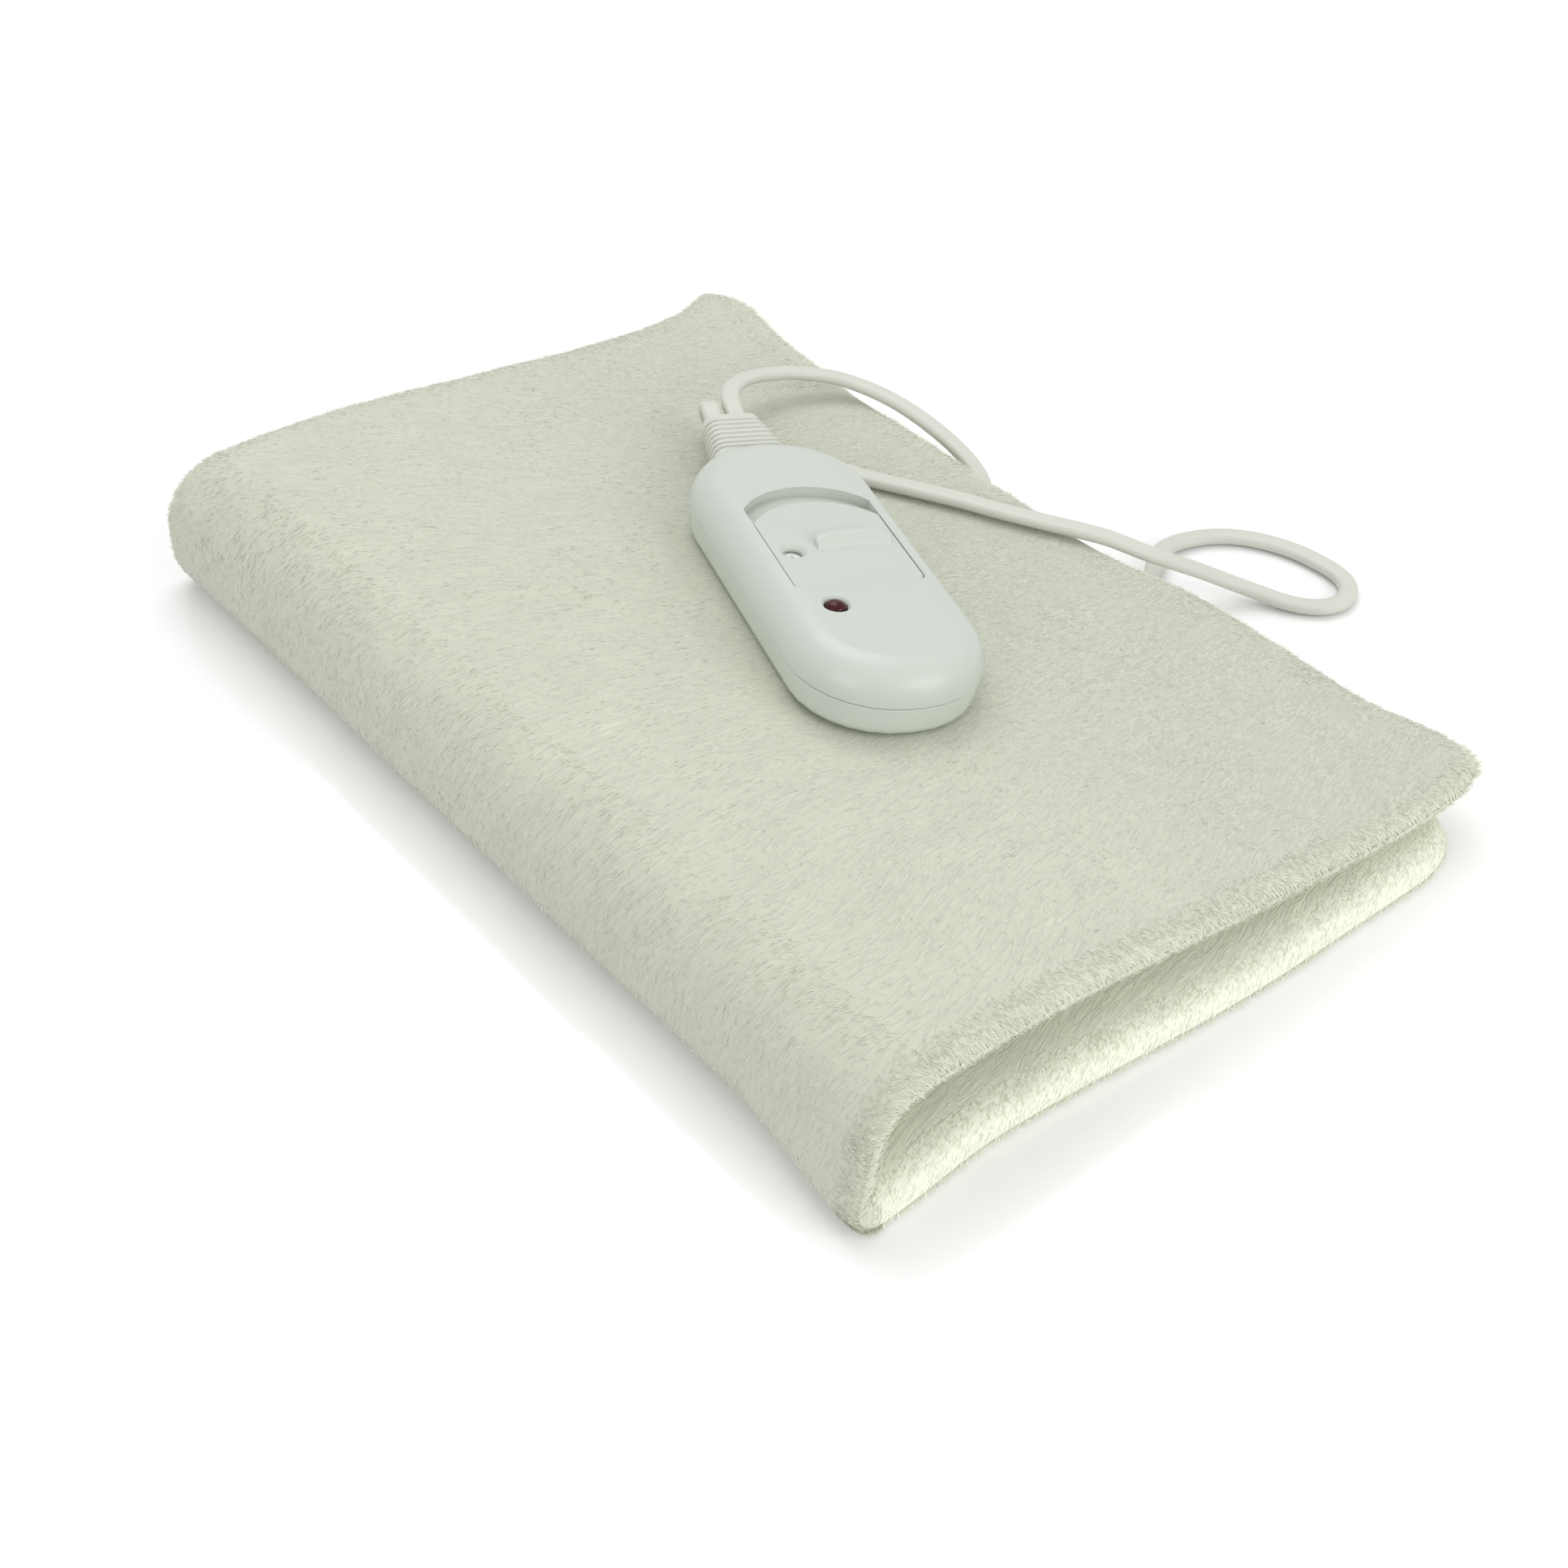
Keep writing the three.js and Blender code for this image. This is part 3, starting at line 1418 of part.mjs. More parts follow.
function plugSleeve() {
  const rings = [];
  const size = (y) => (y - sleeveNear) / (plugNear - sleeveNear);
  const ring = (y, inset) => {
    const width = THREE.MathUtils.lerp(plug.sleeveEndWidth, plug.neckWidth, size(y)) - 2 * inset;
    const height = THREE.MathUtils.lerp(plug.sleeveEndHeight, plug.neckHeight, size(y)) - 2 * inset;
    return plugRing(width, height, y, height / 3);
  };
  rings.push(ring(sleeveNear, 0));
  const pitch = plug.sleeveLength / (plug.sleeveRings + 1);
  for (let i = 0; i < plug.sleeveRings; i++) {
    const start = sleeveNear + (i + plug.sleeveFirstShare) * pitch;
    const grooveShares = [0, 0.15, 0.45, 0.6];
    const insetShares = [0, 1, 1, 0];
    grooveShares.forEach((share, k) =>
      rings.push(ring(start + share * pitch, insetShares[k] * plug.sleeveGroove)),
    );
  }
  rings.push(ring(plugNear, 0));
  return loft(rings);
}

// From the hank's last loop over its far end to the plug's sleeve.
const tailRoute = [
  [-75, 37, 23.5],
  [-74.6, 46, 23.5],
  [-72.5, 54, 23.4],
  [-67.5, 61, 22.7],
  [-60, 66.5, 21.3],
  [-53, 70, 19],
  [-49.2, 73, 17.2],
];

function tailPoints() {
  const to = new THREE.Vector3(plugX, sleeveNear - fitGap, plugZ);
  return [
    hankEnd.clone().add(new THREE.Vector3(0, fitGap, 0)),
    ...tailRoute.map((p) => new THREE.Vector3(...p)),
    to.clone().sub(new THREE.Vector3(0, cord.width, 0)),
    to,
  ];
}

// The assembly

const object = new THREE.Group();

function addPiece(group, name, geometry, material) {
  const mesh = new THREE.Mesh(geometry, material);
  mesh.name = name;
  group.add(mesh);
  return mesh;
}

// The controller's foot presses a shallow nest into the fleece.
function controllerFoot() {
  const foot = loft([
    housingRing(housing.bottomRound, -fitGap),
    housingRing(-fitGap, housing.bottomRound),
    housingRing(-fitGap, housing.height),
  ]);
  return foot.applyMatrix4(controller.matrixWorld);
}

addPiece(object, "outer_fleece_panel", cut(fleeceSheet(true), controllerFoot(), bootRoom()), fleeceFinish);
addPiece(object, "inner_fleece_panel", cut(fleeceSheet(false), bootRoom()), innerFleeceFinish);
addPiece(object, "heater_felt", feltSheet(), finish(0xe8e6dc, 0.9));
addPiece(object, "heating_wire", heatingWire(), finish(0xc23b2e, 0.5));

const cutoutPasses = [heater.cutoutPass, wirePasses - heater.cutoutPass];
const cutoutRuns = cutoutPasses.map((count) => heater.wireMargin + count * wireStep);
cutoutRuns.forEach((run, i) =>
  addPiece(object, "thermal_cutout_" + (i + 1), thermalCutout(run, 0), finish(0x9aa0a6, 0.4, 0.6)),
);
addPiece(object, "pad_cord_boot", cordBoot(), cordFinish);

addPiece(controller, "upper_housing", upperHousing(), shellFinish);
addPiece(controller, "lower_housing", lowerHousing(), shellFinish);
addPiece(controller, "slider_button", sliderButton(), shellFinish);
addPiece(controller, "level_scale", scalePlate(), finish(0xf2f3f0, 0.4));
addPiece(controller, "lamp_lens", lampLens(), finish(0x5a0f12, 0.15));
addPiece(controller, "lamp", lampBulb(), finish(0xb3262a, 0.25));
addPiece(controller, "circuit_board", circuitBoard(), finish(0x3f7a45, 0.6));
addPiece(controller, "slide_switch", slideSwitch(), finish(0x2b2b2d, 0.5));
addPiece(controller, "switch_knob", switchKnob(), finish(0x1f1f21, 0.5));
addPiece(controller, "fuse", glassFuse(), finish(0xd8dcdc, 0.2, 0.4));
addPiece(controller, "diode", rectifierDiode(), finish(0x232427, 0.4));
addPiece(controller, "capacitor", filterCapacitor(), finish(0xd6b23a, 0.4));
screwPlaces.forEach((place, i) =>
  addPiece(controller, "housing_screw_" + (i + 1), housingScrew(place), metalFinish),
);
addPiece(controller, "cord_clamp", cordClamp(), finish(0xe6e7e2, 0.5));
leadPlaces.forEach((x, i) => addPiece(controller, "lead_" + (i + 1), leadWire(x), finish(0x6b4a36, 0.5)));
addPiece(controller, "strain_relief", strainRelief(), cordFinish);
object.add(controller);

const mainsStart = socketPoints(1);
const mainsPoints = [
  ...mainsStart,
  ...mainsRoute.map((p) => new THREE.Vector3(...p)),
  hankStart.clone().add(new THREE.Vector3(0, cord.width, 0)),
  hankStart.clone().add(new THREE.Vector3(0, fitGap, 0)),
];
addPiece(object, "mains_cord", flatCord(new CordPath(mainsPoints, cordSide), cordSteps.mains), cordFinish);

const padPoints = [
  ...socketPoints(-1),
  ...padRoute.map((p) => new THREE.Vector3(...p)),
  new THREE.Vector3(bootX + boot.outside + cord.width, bootY, bootZ),
  new THREE.Vector3(bootX + boot.outside / 3 + fitGap, bootY, bootZ),
];
addPiece(object, "pad_cord", flatCord(new CordPath(padPoints, cordSide), cordSteps.pad), cordFinish);

const hankSteps = Math.round(hank.turns * hank.stepsPerTurn);
const hankGeometry = flatCord(hankPath, hankSteps, 1);
addPiece(object, "mains_cord_hank", hankGeometry, cordFinish);
addPiece(object, "hank_tie", hankTie(), finish(0xf0f0ec, 0.6));
const tailGeometry = flatCord(new CordPath(tailPoints(), new THREE.Vector3(1, 0, 0)), cordSteps.tail);
addPiece(object, "mains_cord_tail", tailGeometry, cordFinish);
addPiece(object, "plug_sleeve", plugSleeve(), cordFinish);
addPiece(object, "plug_body", plugBody(), cordFinish);
[-1, 1].forEach((side, i) => addPiece(object, "plug_pin_" + (i + 1), plugPin(side), metalFinish));

console.log("least gap between the hank's loops, mm:", leastLoopGap(hankGeometry, hankSteps).toFixed(2));
const length = (points) => new THREE.CatmullRomCurve3(points, false, "centripetal").getLength();
const mainsLengths = [length(mainsPoints), hankPath.getLength(), length(tailPoints())];
console.log("mains cord's free length, hank and tail, mm:", mainsLengths.map(Math.round).join(", "));
console.log("pad cord's free length, mm:", Math.round(length(padPoints)));

export default object;
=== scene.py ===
import math

import bmesh
import bpy
import numpy as np
from bpy.props import FloatProperty, FloatVectorProperty, IntProperty, PointerProperty
from mathutils import Matrix, Vector, noise


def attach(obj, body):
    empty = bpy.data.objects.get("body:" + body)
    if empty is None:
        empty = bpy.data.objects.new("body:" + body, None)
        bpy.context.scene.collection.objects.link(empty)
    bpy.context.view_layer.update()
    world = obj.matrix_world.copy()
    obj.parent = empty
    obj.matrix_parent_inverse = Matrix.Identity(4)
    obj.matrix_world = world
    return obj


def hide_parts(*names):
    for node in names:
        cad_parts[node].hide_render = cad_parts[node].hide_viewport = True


bl_info = {
    "name": "Heating pad with controller",
    "version": (1, 0, 0),
    "blender": (4, 5, 0),
    "location": "View3D > Sidebar > Heating Pad",
    "description": "Builds a folded fleece heating pad with its hand controller, cords and stage",
    "category": "Object",
}

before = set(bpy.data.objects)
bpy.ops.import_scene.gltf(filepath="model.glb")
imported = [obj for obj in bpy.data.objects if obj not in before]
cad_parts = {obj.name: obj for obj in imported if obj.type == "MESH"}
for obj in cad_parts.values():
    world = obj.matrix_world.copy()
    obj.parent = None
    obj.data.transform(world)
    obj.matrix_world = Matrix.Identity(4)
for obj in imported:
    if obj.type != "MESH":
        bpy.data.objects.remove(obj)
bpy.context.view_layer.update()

MM = 0.001
PAD_BODY = "pad_and_controller"
SLIDER_BODY = "slider"

# The controller stands on the upper half of the pad, turned and leaning with the fleece.
CONTROLLER = (
    Matrix.Translation(Vector((8.6, -7.9, 31.747)) * MM)
    @ Matrix.Rotation(math.atan(0.155), 4, "Y")
    @ Matrix.Rotation(-0.3405, 4, "Z")
)

CORD_WIDTH = 5.6 * MM
CORD_THICKNESS = 3.2 * MM

# The housing's oval outline in its own frame, in millimetres: a rectangle's half sides and the round on it
HOUSING_CORE = (1.1, 36.8)
HOUSING_ROUND = 24


# Sizes and colours that a user may change


def length_property(label, words, size):
    return FloatProperty(name=label, description=words, default=size, min=0, unit="LENGTH", precision=4)


def colour_property(label, words, red, green, blue):
    return FloatVectorProperty(
        name=label, description=words, default=(red, green, blue), min=0, max=1, size=3, subtype="COLOR"
    )


def power_property(label, words, power):
    return FloatProperty(name=label, description=words, default=power, min=0, unit="POWER")


class PadSizes(bpy.types.PropertyGroup):
    length: length_property("Length", "Length of the folded pad, along the fold", 0.300)
    width: length_property("Width", "Width of the folded pad, from fold to open edge", 0.200)
    fold_height: length_property("Fold height", "Height of the fold above the floor", 0.040)
    thickness: length_property("Thickness", "Thickness of one half: two fleeces and the core", 0.0094)
    open_height: length_property("Open height", "Height of the upper half at the open edge", 0.0226)
    rim_round: length_property("Rim round", "How far in from an edge the pad is at its full thickness", 0.011)
    seam: length_property("Seam", "Thickness of the seam at the rim", 0.0008)
    foot_round: length_property("Foot round", "Radius where the fold turns up from the floor", 0.0106)
    corner_round: length_property("Corner round", "Radius of the corners at the open edges", 0.012)
    end_droop: length_property("End droop", "How much lower the fold hangs at its two ends", 0.0024)
    droop_reach: length_property("Droop reach", "Length over which an end hangs lower", 0.045)
    set_back: length_property("Set back", "How much the lower half ends short of the upper one", 0.003)
    edge_draw: length_property("Edge draw", "How far the cords draw the upper open edge in", 0.0062)
    swell: length_property("Swell", "Height of the soft swellings of the fleece", 0.0011)
    grid: length_property("Grid", "Spacing of the fleece surface's points", 0.002)
    fleece: colour_property("Fleece", "Colour of the outer fleece", 0.54, 0.56, 0.462)
    # Painted light: the fleece in the fold is painted much lighter than the outer fleece, so that the fold's
    # mouth looks lit
    inner_fleece: colour_property("Inner fleece", "Colour of the fleece in the fold", 0.75, 0.765, 0.64)


class PileSizes(bpy.types.PropertyGroup):
    strands: IntProperty(
        name="Strands",
        description="Brushed strands that each patch of pile takes a share of",
        default=12000,
        min=10,
        max=18000,
    )
    length: length_property("Strand length", "Length of a brushed strand", 0.003)
    width: length_property("Strand width", "Width of a brushed strand at its root", 0.00032)
    thickness: length_property("Strand thickness", "Thickness of a brushed strand at its root", 0.00007)
    lift: length_property("Lift", "Height of a strand's tip above the fleece", 0.0002)
    seed: IntProperty(name="Seed", description="Seed of the strands' places", default=11, min=0)


class ControllerSizes(bpy.types.PropertyGroup):
    shell: colour_property("Shell", "Colour of the two housing shells", 0.53, 0.57, 0.515)
    lens: colour_property("Lens", "Colour of the lamp lens", 0.045, 0.002, 0.003)
    edge_round: length_property("Edge round", "Radius of the recess's moulded edges", 0.0005)
    digit: length_property("Digit", "Height of the level numbers under the sight hole", 0.0017)


class CordSizes(bpy.types.PropertyGroup):
    width: length_property("Width", "Width of the flat twin cord", CORD_WIDTH)
    thickness: length_property("Thickness", "Thickness of the flat twin cord", CORD_THICKNESS)
    groove: length_property("Groove", "Depth of the groove between the two cores", 0.0002)
    rubber: colour_property("Rubber", "Colour of the cords and the strain relief", 0.58, 0.595, 0.525)


class StageSizes(bpy.types.PropertyGroup):
    floor: length_property("Floor", "Side of the square floor", 8.0)
    lens: FloatProperty(
        name="Lens", description="Focal length of the camera", default=55.155, min=1, unit="CAMERA"
    )
    sky: FloatProperty(name="Sky", description="Strength of the even light around", default=0.81, min=0)
    key: power_property("Key", "Power of the soft light overhead", 4.8)
    front: power_property("Front", "Power of the soft light in front", 7)
    side: power_property("Side", "Power of the soft light from the left", 3)


# Numbers


def smooth(share):
    t = np.clip(share, 0, 1)
    return t * t * (3 - 2 * t)


def ramp(value, start, length):
    """A share that grows smoothly from 0 at the start to 1 a length further on."""
    return smooth((value - start) / length)


def in_metres(places):
    return [Vector(p) * MM for p in places]


def on_controller(x, y, z):
    """A point of the controller, in millimetres of its own frame, in the object's frame."""
    return CONTROLLER @ (Vector((x, y, z)) * MM)


def rounded_outline(half_x, half_y, radius, steps):
    """Points of a rectangle with round corners, counter-clockwise."""
    r = min(radius, half_x, half_y)
    points = []
    for quarter, (sx, sy) in enumerate(((1, 1), (-1, 1), (-1, -1), (1, -1))):
        x, y = sx * (half_x - r), sy * (half_y - r)
        for i in range(steps + 1):
            angle = (quarter + i / steps) * math.pi / 2
            points.append((x + r * math.cos(angle), y + r * math.sin(angle)))
    return points


# Meshes and pieces

# Distances in metres at which points of a new and of a CAD mesh count as one, and one that counts as none
SAME_POINT = 1e-7
SAME_CAD_POINT = 2e-6
TINY = 1e-9

# Up to the first angle, faces are joined to one, and from the second an edge may be rounded
FLAT_ANGLE = math.radians(0.5)
ROUNDED_ANGLE = math.radians(40)


def extend(bm, ring, places):
    """Draws a ring of vertices out to new places, and gives the new ring."""
    pairs = list(zip(ring, ring[1:] + ring[:1]))
    edges = [bm.edges.get(pair) or bm.edges.new(pair) for pair in pairs]
    made = bmesh.ops.extrude_edge_only(bm, edges=edges)["geom"]
    fresh = {v for v in made if isinstance(v, bmesh.types.BMVert)}
    following = []
    for vert, place in zip(ring, places):
        copy = next(e.other_vert(vert) for e in vert.link_edges if e.other_vert(vert) in fresh)
        copy.co = place
        following.append(copy)
    return following


def first_ring(bm, places):
    ring = bmesh.ops.create_circle(bm, segments=len(places), radius=1)["verts"]
    for vert, place in zip(ring, places):
        vert.co = place
    return ring


def ring_edges(bm, ring):
    return [bm.edges.get((a, b)) for a, b in zip(ring, ring[1:] + ring[:1])]


def cap(bm, ring):
    bmesh.ops.contextual_create(bm, geom=ring_edges(bm, ring))


def loft(bm, rings):
    """A closed body through rings with equal counts of points."""
    start = first_ring(bm, rings[0])
    last = start
    for places in rings[1:]:
        last = extend(bm, last, places)
    cap(bm, start)
    cap(bm, last)


def new_piece(name, bm, finish, body=PAD_BODY, place=None, sharp=38):
    """Links a finished bmesh as a piece with outward faces, smooth but for its sharp edges."""
    bmesh.ops.remove_doubles(bm, verts=bm.verts, dist=SAME_POINT)
    if place is not None:
        bmesh.ops.transform(bm, matrix=place, verts=bm.verts)
    bmesh.ops.recalc_face_normals(bm, faces=bm.faces)
    return link_piece(name, mesh_of(name, bm), finish, body, sharp)


def mesh_of(name, bm):
    """Turns a finished bmesh into a mesh."""
    mesh = bpy.data.meshes.new(name)
    bm.to_mesh(mesh)
    bm.free()
    return mesh


def link_piece(name, mesh, finish, body=PAD_BODY, sharp=38):
    mesh.polygons.foreach_set("use_smooth", [True] * len(mesh.polygons))
    if sharp:
        mesh.set_sharp_from_angle(angle=math.radians(sharp))
    mesh.materials.append(finish)
    piece = bpy.data.objects.new(name, mesh)
    bpy.context.scene.collection.objects.link(piece)
    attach(piece, body)
    return piece


def merged_copy(node):
    """A CAD node's mesh in the controller's own frame, its loose triangles merged to whole faces."""
    bm = bmesh.new()
    bm.from_mesh(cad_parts[node].data)
    bmesh.ops.transform(bm, matrix=CONTROLLER.inverted(), verts=bm.verts)
    bmesh.ops.remove_doubles(bm, verts=bm.verts, dist=SAME_CAD_POINT)
    bmesh.ops.dissolve_limit(bm, angle_limit=FLAT_ANGLE, verts=bm.verts, edges=bm.edges)
    return bm


def round_edges(bm, offset, chosen):
    """Rounds the edges that are chosen by their middle, in millimetres of the controller's frame."""
    edges = []
    for edge in bm.edges:
        if len(edge.link_faces) == 2 and edge.calc_face_angle() > ROUNDED_ANGLE:
            middle = (edge.verts[0].co + edge.verts[1].co) / 2 / MM
            if chosen(middle):
                edges.append(edge)
    shape = {"segments": 3, "profile": 0.5, "affect": "EDGES", "material": -1, "clamp_overlap": True}
    bmesh.ops.bevel(bm, geom=edges, offset=offset, **shape)


def refined(name, node, finish, body=PAD_BODY, offset=0.0, chosen=None, sharp=35, slot=None):
    """A piece that takes a CAD node's place, with rounded edges and smooth shading."""
    bm = merged_copy(node)
    if chosen:
        round_edges(bm, offset, chosen)
    bmesh.ops.transform(bm, matrix=CONTROLLER, verts=bm.verts)
    piece = link_piece(name, mesh_of(name, bm), finish, body, sharp)
    even = piece.modifiers.new("even_shading", "WEIGHTED_NORMAL")
    even.keep_sharp = True
    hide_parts(node)
    return piece


# Finishes


class Finish:
    """A material under construction: nodes are added to it by name."""

    def __init__(self, name):
        self.material = bpy.data.materials.new(name)
        self.material.use_nodes = True
        self.tree = self.material.node_tree
        self.shader = self.tree.nodes["Principled BSDF"]

    def set(self, **values):
        for label, value in values.items():
            self.shader.inputs[label.replace("_", " ")].default_value = value
        return self

    def add(self, kind, **settings):
        node = self.tree.nodes.new(kind)
        for label, value in settings.items():
            setattr(node, label, value)
        return node

    def link(self, source, target):
        self.tree.links.new(source, target)

    def feed(self, value, socket):
        """Links another socket, or sets a number or a colour."""
        if isinstance(value, bpy.types.NodeSocket):
            self.link(value, socket)
        elif socket.type == "RGBA":
            socket.default_value = (*tuple(value)[:3], 1)
        else:
            socket.default_value = value

    def attribute(self, name, output="Fac"):
        return self.add("ShaderNodeAttribute", attribute_name=name).outputs[output]

    def place(self, scale=1, attribute=None):
        """Object coordinates, or an attribute of the mesh, scaled alike or along each axis."""
        if attribute:
            source = self.attribute(attribute, "Vector")
        else:
            source = self.add("ShaderNodeTexCoord").outputs["Object"]
        mapping = self.add("ShaderNodeMapping")
        mapping.inputs["Scale"].default_value = scale if isinstance(scale, tuple) else (scale,) * 3
        self.link(source, mapping.inputs["Vector"])
        return mapping.outputs["Vector"]

    def noise(self, place, scale=1.0, detail=2.0, roughness=0.5, distortion=0.0):
        node = self.add("ShaderNodeTexNoise")
        node.inputs["Scale"].default_value = scale
        node.inputs["Detail"].default_value = detail
        node.inputs["Roughness"].default_value = roughness
        node.inputs["Distortion"].default_value = distortion
        self.link(place, node.inputs["Vector"])
        return node.outputs["Fac"]

    def along(self, axis, low, high):
        """A share that grows from 0 to 1 along an axis of the object, between two places in metres."""
        node = self.add("ShaderNodeSeparateXYZ")
        self.link(self.place(), node.inputs["Vector"])
        return self.band(node.outputs[axis], low, high)

    def band(self, value, low, high, low_out=0.0, high_out=1.0):
        node = self.add("ShaderNodeMapRange", interpolation_type="SMOOTHSTEP")
        limits = {"From Min": low, "From Max": high, "To Min": low_out, "To Max": high_out}
        for label, number in limits.items():
            node.inputs[label].default_value = number
        self.link(value, node.inputs["Value"])
        return node.outputs["Result"]

    def sum(self, first, second, operation="ADD"):
        node = self.add("ShaderNodeMath", operation=operation)
        for socket, value in zip(node.inputs, (first, second)):
            self.feed(value, socket)
        return node.outputs[0]

    def mix(self, share, first, second):
        node = self.add("ShaderNodeMix", data_type="RGBA")
        wanted = (("A", "RGBA", first), ("B", "RGBA", second), ("Factor", "VALUE", share))
        for label, kind, value in wanted:
            self.feed(value, next(s for s in node.inputs if s.name == label and s.type == kind))
        return next(s for s in node.outputs if s.type == "RGBA")

    def colour(self, socket):
        self.link(socket, self.shader.inputs["Base Color"])

    def bump(self, *heights):
        """Chains bumps: each is a height socket, a distance in metres and a strength."""
        normal = None
        for height, distance, strength in heights:
            node = self.add("ShaderNodeBump")
            node.inputs["Distance"].default_value = distance
            node.inputs["Strength"].default_value = strength
            self.link(height, node.inputs["Height"])
            if normal is not None:
                self.link(normal, node.inputs["Normal"])
            normal = node.outputs["Normal"]
        self.link(normal, self.shader.inputs["Normal"])


def shade(colour, factor):
    """The colour made darker or lighter by a factor."""
    return tuple(min(1.0, c * factor) for c in tuple(colour)[:3])


FINISHES = {}


def finish_of(name, maker, *values):
    """Makes a finish once, and gives it again to the next piece that has it."""
    if name not in FINISHES:
        FINISHES[name] = maker(name, *values)
    return FINISHES[name]


# Patterns of the brushed fleece: waves per millimetre along and across the strokes, and per layer
STROKES = (0.21, 1.15, 1)
HAIRS = (0.5, 3.1, 1)
PATCHES = (0.05, 0.09, 1)
LINES = (0.15, 0.8, 7)
CRINKLES = (0.3, 0.75, 5)

# Where the crinkles, with the painted shade in their creases, come in, across the pad, in metres
LOOSE_FROM, LOOSE_TO = -0.02, 0.05


def brushed_fleece(name, colour):
    """Fleece brushed one way: wavy strokes a few millimetres long, painted darker in their grooves as shade,
    thin painted shadow lines between them, short crinkles where it lies looser with painted shade in their
    creases, tufts painted lighter as sheen, and a painted highlight at the rim."""
    f = Finish(name)
    stroke = f.noise(f.place(STROKES, "brush"), 1, 2, 0.5, 0.7)
    hair = f.noise(f.place(HAIRS, "brush"), 1, 2, 0.6, 0.5)
    patches = f.noise(f.place(PATCHES, "brush"), 1, 2, 0.5, 0.4)
    level = f.sum(f.sum(f.noise(f.place(LINES, "brush"), 1, 1.5, 0.5, 1.0), -0.5), 0, "ABSOLUTE")
    line = f.sum(f.band(level, 0.006, 0.035, 0.8, 0), f.band(stroke, 0.42, 0.55), "MULTIPLY")
    loose = f.sum(f.along("X", LOOSE_FROM, LOOSE_TO), f.band(patches, 0.35, 0.6, 0.3, 1), "MULTIPLY")
    crinkle = f.noise(f.place(CRINKLES, "brush"), 1, 2, 0.6, 1.2)
    crinkle_and_shade = f.sum(f.band(crinkle, 0.49, 0.40), loose, "MULTIPLY")
    # Painted shade: the brushed strokes are painted darker in their grooves and lighter on their crests, as
    # well as bumped
    grain = f.sum(f.sum(stroke, 0.6, "MULTIPLY"), f.sum(hair, 0.4, "MULTIPLY"))
    base = f.mix(f.band(grain, 0.32, 0.68), shade(colour, 0.95), shade(colour, 1.05))
    clouded = f.mix(f.band(patches, 0.35, 0.65, 0, 0.5), base, shade(colour, 1.05))
    # Painted sheen: tufts placed by chance are painted lighter where the pile catches the light
    tuft = f.sum(f.band(patches, 0.6, 0.72), f.band(stroke, 0.5, 0.62), "MULTIPLY")
    tufted = f.mix(f.sum(tuft, 0.6, "MULTIPLY"), clouded, shade(colour, 1.16))
    lined = f.mix(f.sum(line, 0.3, "MULTIPLY"), tufted, shade(colour, 0.88))
    # Painted shade: the crinkles are painted darker in their creases, as well as dented by the bump
    crinkle_shaded = f.mix(f.sum(crinkle_and_shade, 0.5, "MULTIPLY"), lined, shade(colour, 0.88))
    # Painted highlight: the fleece is painted lighter where it rolls over at the rim
    f.colour(f.mix(f.attribute("rim"), crinkle_shaded, shade(colour, 1.18)))
    raised = f.sum(stroke, f.sum(f.sum(crinkle_and_shade, line, "MAXIMUM"), -0.6, "MULTIPLY"))
    f.bump((raised, 0.0005, 0.6), (hair, 0.00012, 0.5))
    f.set(Roughness=0.95, Sheen_Weight=0.25, Sheen_Roughness=0.45, Specular_IOR_Level=0.2)
    return f.material


def pile_strands(name, colour):
    """Single strands, lighter by chance and with a painted highlight at the rim."""
    f = Finish(name)
    f.colour(f.mix(f.attribute("tone"), shade(colour, 1.0), shade(colour, 1.4)))
    f.set(Roughness=0.9, Sheen_Weight=0.3, Sheen_Roughness=0.5, Specular_IOR_Level=0.2)
    return f.material


def moulded(name, colour, roughness=0.34, grain=0.00003, coat=0.12):
    """Moulded plastic with a faint flow in its colour and a fine even grain."""
    f = Finish(name)
    f.colour(f.mix(f.noise(f.place(35), 1, 2), shade(colour, 0.97), shade(colour, 1.02)))
    fine = f.noise(f.place(1500), 1, 2)
    f.link(f.band(fine, 0.3, 0.7, roughness - 0.04, roughness + 0.05), f.shader.inputs["Roughness"])
    f.bump((fine, grain, 0.5))
    f.set(Coat_Weight=coat, Coat_Roughness=0.22)
    return f.material


def metal(name, colour, roughness=0.28):
    """Metal with a faintly worn face."""
    f = Finish(name)
    worn = f.noise(f.place(260), 1, 4, 0.6)
    f.colour(f.mix(f.band(worn, 0.35, 0.7), shade(colour, 0.9), shade(colour, 1.05)))
    f.link(f.band(worn, 0.3, 0.7, roughness - 0.06, roughness + 0.12), f.shader.inputs["Roughness"])
    f.bump((worn, 0.00002, 0.4))
    f.set(Metallic=1.0)
    return f.material


def clear_tinted(name, colour, roughness=0.08):
    """A dark tinted glass with a faint haze."""
    f = Finish(name)
    haze = f.noise(f.place(900), 1, 2)
    f.colour(f.mix(haze, shade(colour, 0.8), shade(colour, 1.2)))
    f.bump((haze, 0.00001, 0.3))
    f.set(Roughness=roughness, Coat_Weight=0.05, Coat_Roughness=0.04, Specular_IOR_Level=0.28)
    return f.material


def matted_felt(name, colour):
    """Felt with its fibres matted together."""
    f = Finish(name)
    fibres = f.noise(f.place(700), 1, 4, 0.7, 1.5)
    f.colour(f.mix(fibres, shade(colour, 0.85), shade(colour, 1.08)))
    f.bump((fibres, 0.0003, 0.8))
    f.set(Roughness=0.97, Sheen_Weight=0.2)
    return f.material


